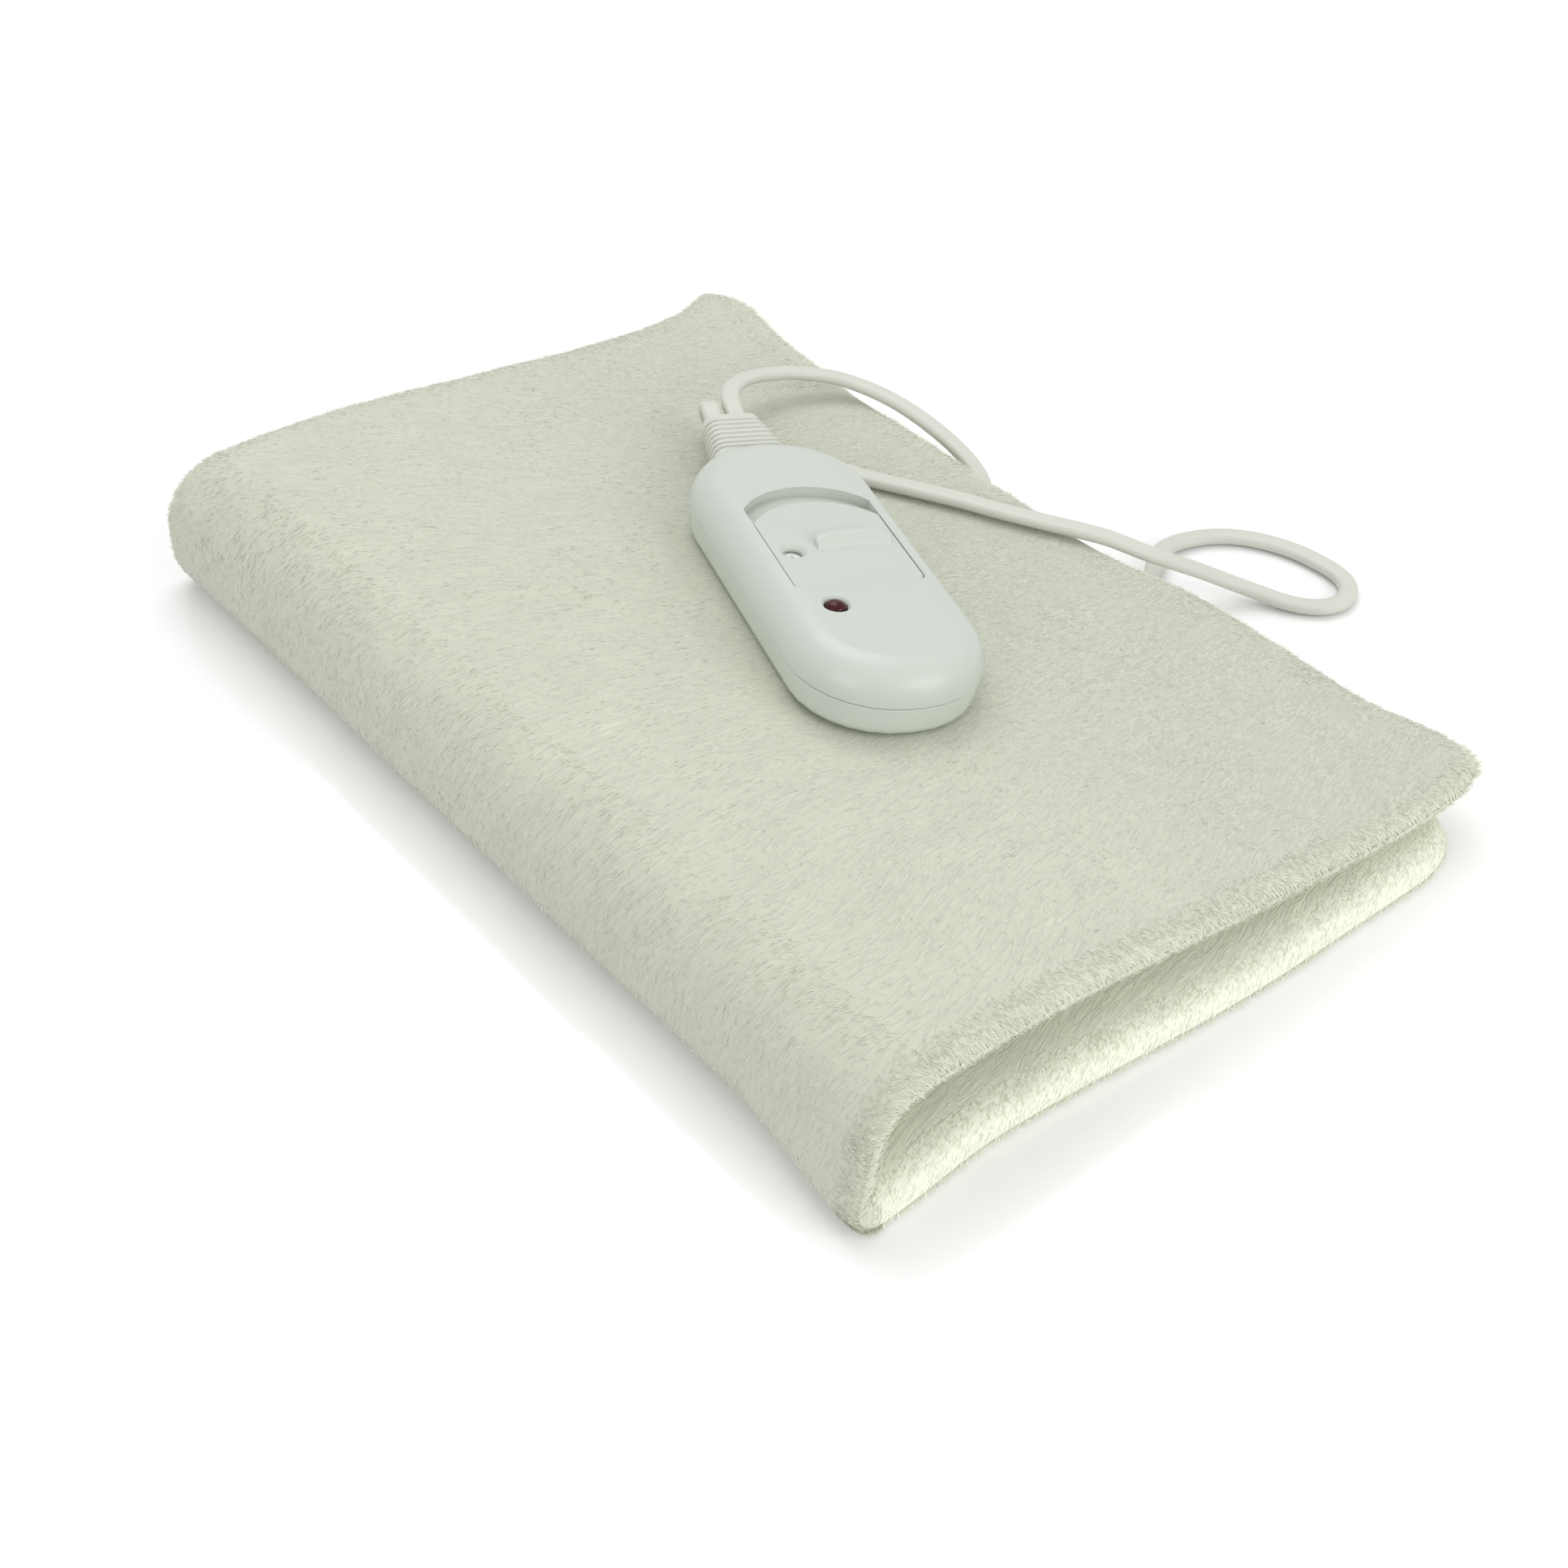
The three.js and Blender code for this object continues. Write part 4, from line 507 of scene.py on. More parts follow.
def printed_board(name, colour):
    """A circuit board with tracks of several tones."""
    f = Finish(name)
    tracks = f.add("ShaderNodeTexBrick", offset=0.5)
    tracks.inputs["Scale"].default_value = 260
    for label, factor in (("Color1", 1.15), ("Color2", 0.95), ("Mortar", 0.75)):
        f.feed(shade(colour, factor), tracks.inputs[label])
    f.link(f.place(), tracks.inputs["Vector"])
    f.colour(tracks.outputs["Color"])
    f.bump((tracks.outputs["Fac"], 0.00005, 0.5))
    f.set(Roughness=0.42, Coat_Weight=0.3)
    return f.material


# The folded pad's shape. Lengths are in metres, and a pair says where a change starts, from the pad's middle,
# and the length that it takes.

# How far from the fold and from the open edge the upper half slopes down
SLOPE_FROM_FOLD = 0.010
SLOPE_FROM_EDGE = 0.005

# The seam's depth in the half on the floor, as a share of the thickness, and how much more in the upper half
SEAM_LOW_SHARE = 0.12
SEAM_RISE_SHARE = 0.33

# Where the cords draw the upper open edge in
DRAWN_NEAR_SHARES = (-2 / 9, 1 / 6)
DRAWN_FAR_SHARES = (1 / 4, 1 / 4)
DRAWN_FROM = 0.040

# The corners at the open edge are drawn out
NEAR_CORNER_ALONG = (0.105, 0.045)
NEAR_CORNER_ACROSS = (0.055, 0.045)
NEAR_CORNER_OUT = 0.0075
FAR_CORNER_ALONG = (0.118, 0.032)
FAR_CORNER_ACROSS = (0.060, 0.030)
FAR_CORNER_TIP = (0.074, 0.018)
FAR_CORNER_OUT = 0.004
FAR_CORNER_TIP_OUT = 0.006
FAR_CORNER_UP = 0.0015

# The fold's near corner stands out at its foot
TOE_ALONG = (0.10, 0.05)
TOE_ACROSS = (0.06, 0.03)
TOE_HEIGHT = 0.022
TOE_OUT = 0.006
TOE_NEARER = 0.0025

# The near end bulges in its middle, the lower half more than the upper one
BULGE_ALONG = (0.09, 0.06)
BULGE_START = (-0.07, 0.10)
BULGE_END = (0.075, 0.03)
LOWER_BULGE = 0.006
UPPER_BULGE = 0.0015

# Soft swellings of the fleece: waves per metre and share of the swell
SWELLINGS = ((17, 0.9), (45, 0.55), (110, 0.22))
INNER_SWELL_SHARE = 0.2
SWELL_FROM_FLOOR = (0.004, 0.02)
ABOVE_FLOOR = 0.00002

# How deep the controller and the cords press, and how far beside them
CONTROLLER_DENT = 0.0007
CONTROLLER_DENT_REACH = 9
CORD_DENT = 0.0004
CORD_DENT_BESIDE = (0.003, 0.010)

# Both ends of the ruffled line on the upper half, in millimetres, its height, its half width and its wander
RUFFLE = ((-68, 52), (-28, 17))
RUFFLE_HEIGHT = 0.0014
RUFFLE_WIDTH = 0.0022
RUFFLE_WANDER = 0.0025
RUFFLE_WAVES = 9


class PadShape:
    """Where a point of the pad lies: by its run from the lower open edge round the fold, its place along
    the fold, and its depth under the outer face."""

    def __init__(self, sizes):
        self.sizes = sizes
        self.fold_radius = sizes.fold_height / 2
        self.fold_x = self.fold_radius - sizes.width / 2
        self.foot_x = sizes.foot_round - sizes.width / 2
        self.open_x = sizes.width / 2
        self.lower_run = self.open_x - sizes.set_back - self.foot_x
        self.foot_end = self.lower_run + math.pi / 2 * sizes.foot_round
        self.over_start = self.foot_end + sizes.fold_height - self.fold_radius - sizes.foot_round
        self.upper_start = self.over_start + math.pi / 2 * self.fold_radius
        self.whole_run = self.upper_start + self.open_x - self.fold_x
        self.slope_start = self.fold_x + SLOPE_FROM_FOLD
        self.slope_length = self.open_x - SLOPE_FROM_EDGE - self.slope_start
        self.cords = np.array([tuple(p) for p in pad_cord_line() + mains_line()[:150]])

    def upper_height(self, x):
        drop = self.sizes.fold_height - self.sizes.open_height
        return self.sizes.fold_height - drop * ramp(x, self.slope_start, self.slope_length)

    def half_length(self, run):
        """Half the pad's length at a run, less at the rounded corners."""
        from_rim = np.minimum(run, self.whole_run - run)
        share = np.clip(1 - from_rim / self.sizes.corner_round, 0, 1)
        return self.sizes.length / 2 - self.sizes.corner_round * (1 - np.sqrt(1 - share * share))

    def drawn_in(self, run, y):
        """How far the faces draw together at the rim, from 0 to 1 at the seam."""
        from_open = np.minimum(run, self.whole_run - run)
        from_end = self.half_length(run) - np.abs(y)
        a = np.clip(1 - from_open / self.sizes.rim_round, 0, 1)
        b = np.clip(1 - from_end / self.sizes.rim_round, 0, 1)
        reach = np.minimum(1, np.hypot(a, b))
        return 1 - np.cbrt(1 - reach**3)

    def insets(self, run, y):
        """How far the outer and the inner face draw in. The seam lies low in the half on the floor."""
        whole = (self.sizes.thickness - self.sizes.seam) * self.drawn_in(run, y)
        share = SEAM_LOW_SHARE + SEAM_RISE_SHARE * ramp(run, self.foot_end, self.upper_start - self.foot_end)
        return whole * share, whole * (1 - share)

    def place(self, run, y, depth):
        """The point at a run, a place along the fold and a depth under the outer face."""
        s = self.sizes
        foot = np.clip((run - self.lower_run) / s.foot_round, 0, math.pi / 2)
        over = np.clip((self.upper_start - run) / self.fold_radius, 0, math.pi / 2)
        straight_x = self.fold_x + run - self.upper_start
        parts = (run <= self.lower_run, run < self.foot_end, run < self.over_start, run < self.upper_start)
        low = s.fold_height - self.fold_radius

        def choose(*values):
            return np.select(parts, values[:4], values[4])

        x = choose(
            self.open_x - s.set_back - run,
            self.foot_x - s.foot_round * np.sin(foot),
            -s.width / 2 + 0 * run,
            self.fold_x - self.fold_radius * np.sin(over),
            straight_x,
        )
        z = choose(
            0 * run,
            s.foot_round * (1 - np.cos(foot)),
            s.foot_round + run - self.foot_end,
            low + self.fold_radius * np.cos(over),
            self.upper_height(straight_x),
        )
        in_x = choose(0 * run, np.sin(foot), 0 * run + 1, np.sin(over), 0 * run)
        in_z = choose(0 * run + 1, np.cos(foot), 0 * run, -np.cos(over), 0 * run - 1)
        return self.settled(run, x + in_x * depth, y, z + in_z * depth)

    def settled(self, run, x, y, z):
        """Where a point of the plain fold comes to lie as the fleece droops, bulges and is drawn."""
        s = self.sizes
        upper = run > self.upper_start
        along = ramp(y / s.length, *DRAWN_NEAR_SHARES) * (1 - ramp(y / s.length, *DRAWN_FAR_SHARES))
        across = ramp(x, DRAWN_FROM, self.open_x - DRAWN_FROM)
        x = x - np.where(upper, s.edge_draw * along * across, 0)
        droop = s.end_droop * (1 - ramp(s.length / 2 - np.abs(y), 0, s.droop_reach))
        z = z - droop / s.fold_height * np.maximum(0, z - s.thickness)

        near = ramp(-y, *NEAR_CORNER_ALONG) * ramp(x, *NEAR_CORNER_ACROSS)
        far = ramp(y, *FAR_CORNER_ALONG) * ramp(x, *FAR_CORNER_ACROSS)
        y = y + np.where(upper, FAR_CORNER_TIP_OUT * far * ramp(x, *FAR_CORNER_TIP), 0)
        x = x + np.where(upper, NEAR_CORNER_OUT * near + FAR_CORNER_OUT * far, 0)
        z = z + np.where(upper, FAR_CORNER_UP * far, 0)

        toe = ramp(-y, *TOE_ALONG) * (1 - ramp(z, 0, TOE_HEIGHT)) * ramp(-x, *TOE_ACROSS)
        x = x - TOE_OUT * toe
        y = y - TOE_NEARER * toe
        bulge = ramp(-y, *BULGE_ALONG) * ramp(x, *BULGE_START) * (1 - ramp(x, *BULGE_END))
        y = y - np.where(run < self.lower_run, LOWER_BULGE * bulge, UPPER_BULGE * bulge * upper)
        return np.stack([x, y + 0 * x, z], -1)

    def surface(self, run, y, inner, swelling):
        """The fleece's face with its rim drawn in and its soft swellings."""
        outer_inset, inner_inset = self.insets(run, y)
        depth = np.where(inner, self.sizes.thickness - inner_inset, outer_inset) - swelling
        places = self.place(run, y, depth)
        places[..., 2] = np.maximum(places[..., 2], ABOVE_FLOOR)
        return places

    def pressed(self, places):
        """How much the controller presses on each place, and how much the cords do, from 0 to 1."""
        under = 1 - ramp(outside_housing(places), 0, CONTROLLER_DENT_REACH)
        return under, 1 - ramp(nearest_distance(places, self.cords), *CORD_DENT_BESIDE)

    def ruffle(self, run, y):
        """A short line on the upper half where the pile stands a little proud."""
        start, end = np.array(RUFFLE) * MM
        whole = end - start
        off = np.stack([self.fold_x + run - self.upper_start - start[0], y - start[1]], -1)
        share = np.clip(off @ whole / (whole @ whole), 0, 1)
        aside = off @ np.array([-whole[1], whole[0]]) / np.hypot(*whole)
        aside = aside + RUFFLE_WANDER * np.sin(share * RUFFLE_WAVES)
        return RUFFLE_HEIGHT * np.sin(math.pi * share) ** 0.5 * np.exp(-((aside / RUFFLE_WIDTH) ** 2))

    def swelling(self, run, y, inner):
        """Soft swellings, less where the controller and the cords press, and none underneath."""
        points = np.stack([run, y, 0 * run], -1)
        height = self.sizes.swell * layered_noise(points, SWELLINGS, 1) + self.ruffle(run, y)
        off_floor = ramp(run - self.lower_run, *SWELL_FROM_FLOOR)
        upper = run > self.upper_start
        under, beside = (pressing * upper for pressing in self.pressed(self.place(run, y, 0 * run)))
        outer = height * off_floor * (1 - np.maximum(under, beside))
        outer = outer - CORD_DENT * beside - CONTROLLER_DENT * under
        return np.where(inner, INNER_SWELL_SHARE * height, outer)


def outside_housing(places):
    """Distance in millimetres of each place outside the housing's outline, whatever its height."""
    local = (np.c_[places, np.ones(len(places))] @ np.array(CONTROLLER.inverted()).T)[:, :2] / MM
    past = np.maximum(np.abs(local) - HOUSING_CORE, 0)
    return np.hypot(past[:, 0], past[:, 1]) - HOUSING_ROUND


def graded(length, rim, step):
    """Stations from 0 to length, close together at both rims."""
    turns = np.linspace(0, math.pi / 2, 9)[:-1]
    edge = rim * (1 - np.cos(turns))
    middle = np.linspace(rim, length - rim, max(2, round((length - 2 * rim) / step)))
    return np.concatenate([edge, middle, length - edge[::-1]])


def rough_noise(points, scale, seed):
    """Smooth noise between -1 and 1 at points in metres."""
    shift = Vector((seed * 7.31, seed * 3.17, seed * 5.73))
    return np.array([noise.noise(Vector(p) * scale + shift) for p in points])


def layered_noise(points, layers, first_seed):
    """Noises added up, each with its waves per metre and its share."""
    seeded = enumerate(layers, first_seed)
    return sum(share * rough_noise(points, scale, seed) for seed, (scale, share) in seeded)


def nearest_distance(points, line, chunk=4000):
    """Distance in plan from each point to a line of points."""
    line = np.asarray(line)[:, :2]
    found = [
        np.sqrt(((points[i : i + chunk, None, :2] - line[None]) ** 2).sum(-1)).min(1)
        for i in range(0, len(points), chunk)
    ]
    return np.concatenate(found)


# Cords

# The groove of a flat cord as a share of its width, and how fast its flat side settles level
GROOVE_WIDTH_SHARE = 0.16
SETTLING_SHARE = 0.3
SETTLING_LENGTH = 0.006


def spline_through(points, per_span):
    """Centripetal curve through points, with so many steps for each span."""
    pts = [Vector(p) for p in points]
    pts = [2 * pts[0] - pts[1], *pts, 2 * pts[-1] - pts[-2]]
    made = []
    for a, b, c, d in zip(pts, pts[1:], pts[2:], pts[3:]):
        t1 = max((b - a).length, TINY) ** 0.5
        t2 = t1 + max((c - b).length, TINY) ** 0.5
        t3 = t2 + max((d - c).length, TINY) ** 0.5
        for i in range(per_span):
            t = t1 + (t2 - t1) * i / per_span
            ab = a.lerp(b, t / t1)
            bc = b.lerp(c, (t - t1) / (t2 - t1))
            cd = c.lerp(d, (t - t2) / (t3 - t2))
            abc = ab.lerp(bc, t / t2)
            bcd = bc.lerp(cd, (t - t1) / (t3 - t1))
            made.append(abc.lerp(bcd, (t - t1) / (t2 - t1)))
    made.append(pts[-2].copy())
    return made


def even_steps(points, step):
    """The same line with points a step apart."""
    places = np.array([tuple(p) for p in points])
    along = np.concatenate([[0], np.cumsum(np.linalg.norm(np.diff(places, axis=0), axis=1))])
    count = max(2, round(along[-1] / step))
    at = np.linspace(0, along[-1], count + 1)
    return [Vector([np.interp(v, along, places[:, k]) for k in range(3)]) for v in at], along[-1]


def flat_cord(name, line, first_side, finish, sizes, step=0.0016):
    """A flat twin cord along a line, its flat side settling level wherever the line runs level."""
    points, length = even_steps(line, step)
    half_width = sizes.width / 2
    half_thick = sizes.thickness / 2
    section = []
    for x, z in rounded_outline(half_width, half_thick, half_thick, 5):
        dip = sizes.groove * math.exp(-((x / (GROOVE_WIDTH_SHARE * sizes.width)) ** 2))
        section.append((x, z - math.copysign(dip, z)))
    section = subdivided(section, half_width / 3)
    side = Vector(first_side).normalized()
    rings = []
    share = SETTLING_SHARE * step / SETTLING_LENGTH
    for i, point in enumerate(points):
        tangent = (points[min(i + 1, len(points) - 1)] - points[max(i - 1, 0)]).normalized()
        level = Vector((0, 0, 1)).cross(tangent)
        weight = level.length_squared
        if level.dot(side) < 0:
            level.negate()
        if i and weight > TINY:
            side = side.lerp(level.normalized(), min(1, share * weight * weight))
        side = (side - tangent * side.dot(tangent)).normalized()
        rise = tangent.cross(side)
        rings.append([point + side * x + rise * z for x, z in section])
    bm = bmesh.new()
    loft(bm, rings)
    return new_piece(name, bm, finish, sharp=60), [tuple(p) for p in points], length


def subdivided(outline, longest):
    """The same outline with no side longer than this."""
    made = []
    for (ax, ay), (bx, by) in zip(outline, outline[1:] + outline[:1]):
        count = max(1, math.ceil(math.hypot(bx - ax, by - ay) / longest))
        made += [(ax + (bx - ax) * i / count, ay + (by - ay) * i / count) for i in range(count)]
    return [p for p, q in zip(made, made[-1:] + made[:-1]) if math.dist(p, q) > SAME_POINT]


# The strain relief's outer face, the height of its two cords and their spacing, in the controller's frame
# and in millimetres like the routes, and how far the sockets reach in and stand proud
CORD_SIDE = (CONTROLLER.to_3x3() @ Vector((1, 0, 0))).normalized()
RELIEF_FACE = 80.75
RELIEF_AXIS = 10.2
CORD_SPACING = 7
SOCKET_DEPTH = 2.7
SOCKET_PROUD = 0.3

MAINS_ROUTE = [
    (44.3, 77, 37.9),
    (49.1, 83.7, 37.3),
    (54.8, 87.6, 36.1),
    (61.5, 89.8, 34.5),
    (68.8, 90, 32.7),
    (76.1, 88.8, 31),
    (83.2, 85.2, 29.2),
    (89.3, 80.1, 27.5),
    (96.9, 66.6, 24),
    (101.7, 49.8, 18.5),
    (102.2, 37.6, 14.5),
    (99.8, 29.6, 12.3),
    (93.3, 24, 11.5),
    (86, 20.5, 11.3),
    (76, 17.5, 11.3),
    (62, 13, 11.3),
    (46, 6, 11.3),
    (30, -3, 11.5),
    (14, -13, 11.9),
    (0, -24, 12.3),
    (-13, -34.5, 12.4),
    (-19.3, -41.5, 12.4),
]

PAD_CORD_ROUTE = [
    (35.1, 73.3, 38.7),
    (36.8, 77.2, 39.5),
    (38, 79.6, 38.8),
    (39, 81.2, 36.9),
    (39.7, 81.7, 34.4),
    (40, 80.8, 31.8),
    (40.1, 78.8, 29.9),
    (40.8, 75.7, 29.1),
    (42.6, 70.9, 28.9),
    (46.1, 63.5, 28.4),
    (54.3, 50, 27.4),
    (62.2, 36, 26.4),
    (68, 26.3, 26),
    (75.2, 14, 25.5),
    (81.1, 2, 25.2),
    (87.3, -9.8, 25),
    (92, -18, 24.8),
    (96.5, -24.5, 23.8),
    (103.8, -31.6, 19.8),
    (111.8, -35.4, 15),
    (119.6, -39.6, 10.5),
    (126.8, -44.3, 6.2),
    (132.5, -50.5, 3.4),
    (136.2, -57, 2.2),
    (139.5, -62, 1.9),
    (143.6, -65.7, 1.9),
    (148.7, -67, 1.9),
    (153.8, -65.3, 1.9),
    (157.2, -61.2, 1.9),
    (158.5, -56, 1.9),
    (158.4, -50, 1.9),
    (157.6, -43.4, 1.9),
    (153.7, -32.8, 1.9),
    (147.6, -24.7, 1.9),
    (140.2, -19.8, 1.9),
    (131.3, -17.8, 2.3),
    (123.5, -20, 3.2),
    (117.5, -24.5, 4.1),
    (111.6, -28, 4.7),
    (100.3, -28, 4.7),
]

TAIL_ROUTE = [
    (-75, 37, 23.5),
    (-74.6, 46, 23.5),
    (-72.5, 54, 23.4),
    (-67.5, 61, 22.7),
    (-60, 66.5, 21.3),
    (-53, 70, 19),
    (-49.2, 73, 17.2),
    (-48, 75.9, 16.55),
    (-48, 81.5, 16.55),
]

HANK = {
    "straight": 84,
    "end_width": 54,
    "loop_pitch": 7,
    "turns": 4.5,
    "layers": 4,
    "waist_draw": 13,
    "x": -48,
    "y": -12,
    "low": 12.4,
    "layer_step": 3.7,
}


def hank_line(steps_per_turn=48):
    """The spare mains cord, folded in four layers drawn in at the waist, in millimetres."""
    h = HANK
    per_layer = h["turns"] / h["layers"]
    half = h["straight"] / 2
    line = []
    count = round(h["turns"] * steps_per_turn)
    for i in range(count + 1):
        turns = h["turns"] * min(i / count, 1 - 1e-9)
        layer = min(h["layers"] - 1, math.floor(turns / per_layer))
        within = turns - layer * per_layer
        inward = per_layer - within if layer % 2 else within
        half_width = h["end_width"] / 2 - h["loop_pitch"] * inward
        level = sum(float(smooth((turns - k * per_layer) / 0.5 + 0.5)) for k in range(1, h["layers"]))
        fold = math.pi * half_width
        whole = 2 * (fold + h["straight"])
        along = (turns - math.floor(turns)) * whole
        second = along >= whole / 2
        rest = along - whole / 2 if second else along
        sign = -1 if second else 1
        if rest < fold:
            angle = rest / half_width
            x = half_width * math.cos(angle)
            y = -half - half_width * math.sin(angle)
        else:
            y = -half + rest - fold
            x = h["waist_draw"] * math.cos(math.pi / 2 * y / half) ** 2 - half_width
        line.append((h["x"] + sign * x, h["y"] + sign * y, h["low"] + level * h["layer_step"]))
    return line


def relief_point(side, proud=0):
    """A point on a cord's axis at the strain relief: side -1 is the pad cord, 1 the mains cord."""
    return on_controller(side * CORD_SPACING / 2, RELIEF_FACE + proud, RELIEF_AXIS)


def socket_points(side):
    """The first stretch of a cord, in the strain relief."""
    return [relief_point(side, -SOCKET_DEPTH), relief_point(side, SOCKET_PROUD)]


def mains_line():
    return spline_through(socket_points(1) + in_metres(MAINS_ROUTE + hank_line() + TAIL_ROUTE), 6)


def pad_cord_line():
    return spline_through(socket_points(-1) + in_metres(PAD_CORD_ROUTE), 10)


# Operators

# The stage: the floor's depth below the part, the camera and what it looks at in millimetres, and the soft
# lights, each with its place in metres, its size and the setting that holds its power
FLOOR_DEPTH = 0.0002
CAMERA_PLACE = (-316.8, -391.1, 406.3)
CAMERA_AIM = (-35.5, -45, 20)
SOFT_LIGHTS = (
    ("key_light", (0.25, 0.55, 1.1), 1.0, "key"),
    ("front_light", (0.35, -1.3, 0.6), 1.0, "front"),
    ("side_light", (-1.2, -0.3, 0.6), 0.8, "side"),
)


def stage_object(context, name, data, place=(0, 0, 0), aim=None):
    """Links a stage object at a place, turned to look at its aim."""
    made = bpy.data.objects.new(name, data)
    context.scene.collection.objects.link(made)
    made.location = place
    if aim is not None:
        made.rotation_euler = (aim - made.location).to_track_quat("-Z", "Y").to_euler()
    return made


class HEATINGPAD_OT_stage(bpy.types.Operator):
    """Sets the floor, the soft lights and the camera"""

    bl_idname = "heating_pad.stage"
    bl_label = "Stage"

    def execute(self, context):
        sizes = context.scene.heating_stage
        bm = bmesh.new()
        bmesh.ops.create_grid(bm, x_segments=1, y_segments=1, size=sizes.floor / 2)
        bmesh.ops.translate(bm, verts=bm.verts, vec=(0, 0, -FLOOR_DEPTH))
        mesh = mesh_of("floor", bm)
        paint = Finish("pale_floor")
        paint.colour(paint.mix(paint.noise(paint.place(3), 1, 2), (0.93,) * 3, (0.95,) * 3))
        paint.set(Roughness=0.16, Coat_Weight=0.6, Coat_Roughness=0.12)
        mesh.materials.append(paint.material)
        stage_object(context, "floor", mesh)

        world = bpy.data.worlds.new("soft_sky")
        world.use_nodes = True
        world.node_tree.nodes["Background"].inputs["Color"].default_value = (1, 1, 1, 1)
        world.node_tree.nodes["Background"].inputs["Strength"].default_value = sizes.sky
        context.scene.world = world
        context.scene.view_settings.view_transform = "Standard"
        for name, place, size, power in SOFT_LIGHTS:
            light = bpy.data.lights.new(name, "AREA")
            light.shape = "DISK"
            light.size = size
            light.energy = getattr(sizes, power)
            stage_object(context, name, light, place, Vector((0, 0, 0)))

        camera = bpy.data.cameras.new("camera")
        camera.lens = sizes.lens
        camera.sensor_width = 36
        camera.clip_start = 0.01
        place, aim = in_metres((CAMERA_PLACE, CAMERA_AIM))
        context.scene.camera = stage_object(context, "camera", camera, place, aim)
        return {"FINISHED"}


def cord_rubber(context):
    return finish_of("cord_rubber", moulded, context.scene.heating_cords.rubber, 0.42, 0.00004, 0.05)


class HEATINGPAD_OT_mains_cord(bpy.types.Operator):
    """Lays the mains cord over the open edge into the fold, where its spare length is a tied hank"""

    bl_idname = "heating_pad.mains_cord"
    bl_label = "Mains cord"

    def execute(self, context):
        sizes = context.scene.heating_cords
        rubber = cord_rubber(context)
        piece, path, length = flat_cord("flat_mains_cord", mains_line(), CORD_SIDE, rubber, sizes)
        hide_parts("mains_cord", "mains_cord_hank", "mains_cord_tail")
        moulding = finish_of("plug_moulding", moulded, sizes.rubber, 0.38, 0.00004, 0.08)
        ends = [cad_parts[n] for n in ("plug_pin_1", "plug_pin_2", "hank_tie")]
        ends.append(refined("plug_grip", "plug_sleeve", rubber, slot="cord_rubber"))
        ends.append(refined("plug_case", "plug_body", moulding, slot="cord_rubber"))
        return {"FINISHED"}


class HEATINGPAD_OT_pad_cord(bpy.types.Operator):
    """Lays the pad cord back under the strain relief, over the open edge, in a loop and into the boot"""

    bl_idname = "heating_pad.pad_cord"
    bl_label = "Pad cord"

    def execute(self, context):
        sizes = context.scene.heating_cords
        rubber = cord_rubber(context)
        piece, path, length = flat_cord("flat_pad_cord", pad_cord_line(), CORD_SIDE, rubber, sizes, 0.001)
        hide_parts("pad_cord")
        sleeve = refined("boot_moulding", "pad_cord_boot", rubber, slot="cord_rubber")
        return {"FINISHED"}


# The brushed strokes follow lines that bend with the place and waver: each wave has its height and its
# lengths along and across. Lengths here are in millimetres.
STROKE_LEAN = 0.2
STROKE_SCALE = 0.95
STROKE_BEND = 0.004
BEND_START = -80
BEND_EASE = 12
STROKE_WAVES = ((0.9, 7, 29), (0.5, -15, 11))
LAYER_STEP = 40.0


def brush_places(shape, run, y, layer):
    """Distances along and across the brushed strokes, which lie in lines of equal distance across."""
    x = (run - shape.upper_start) / MM + BEND_START
    y = y / MM
    held = BEND_EASE * np.logaddexp(0, (x - BEND_START) / BEND_EASE) + BEND_START
    across = STROKE_LEAN * x + STROKE_SCALE * y + STROKE_BEND * held * y
    along = STROKE_SCALE * x + STROKE_BEND * (held * x - held * held / 2)
    along = along - STROKE_LEAN * y - STROKE_BEND * y * y / 2
    wave = sum(height * np.sin(along / a + across / b) for height, a, b in STROKE_WAVES)
    return np.stack([along, across + wave, np.full_like(along, layer * LAYER_STEP)], -1)


# How far the faces draw together where the fleece gets its painted highlight at the rim, and where the inner
# fleece ends in the lower and in the upper half
RIM_SHARE = 0.5
LOWER_RIM_SHARE = 0.2
UPPER_RIM_SHARE = 0.6


def grids_joined(columns, rows):
    """A closed flat mesh of two grids, at the heights 0 and 1, that are joined at their rims."""
    bm = bmesh.new()
    edges = []
    for level in (0, 1):
        made = bmesh.ops.create_grid(bm, x_segments=columns - 1, y_segments=rows - 1, size=1)["verts"]
        bmesh.ops.translate(bm, verts=made, vec=(0, 0, level))
        own = set(made)
        edges += [e for e in bm.edges if e.is_boundary and e.verts[0] in own]
    bmesh.ops.bridge_loops(bm, edges=edges)
    return mesh_of("fleece_pad", bm)


def read(owners, label, width=1, kind=int):
    """One value, or a row of them, from each element of a mesh."""
    values = np.zeros(len(owners) * width, kind)
    owners.foreach_get(label, values)
    return values.reshape(-1, width) if width > 1 else values


def add_attribute(mesh, name, values):
    """Gives each point of a mesh a number or a vector."""
    vector = values.ndim > 1
    attribute = mesh.attributes.new(name, "FLOAT_VECTOR" if vector else "FLOAT", "POINT")
    attribute.data.foreach_set("vector" if vector else "value", values.astype(np.float32).ravel())


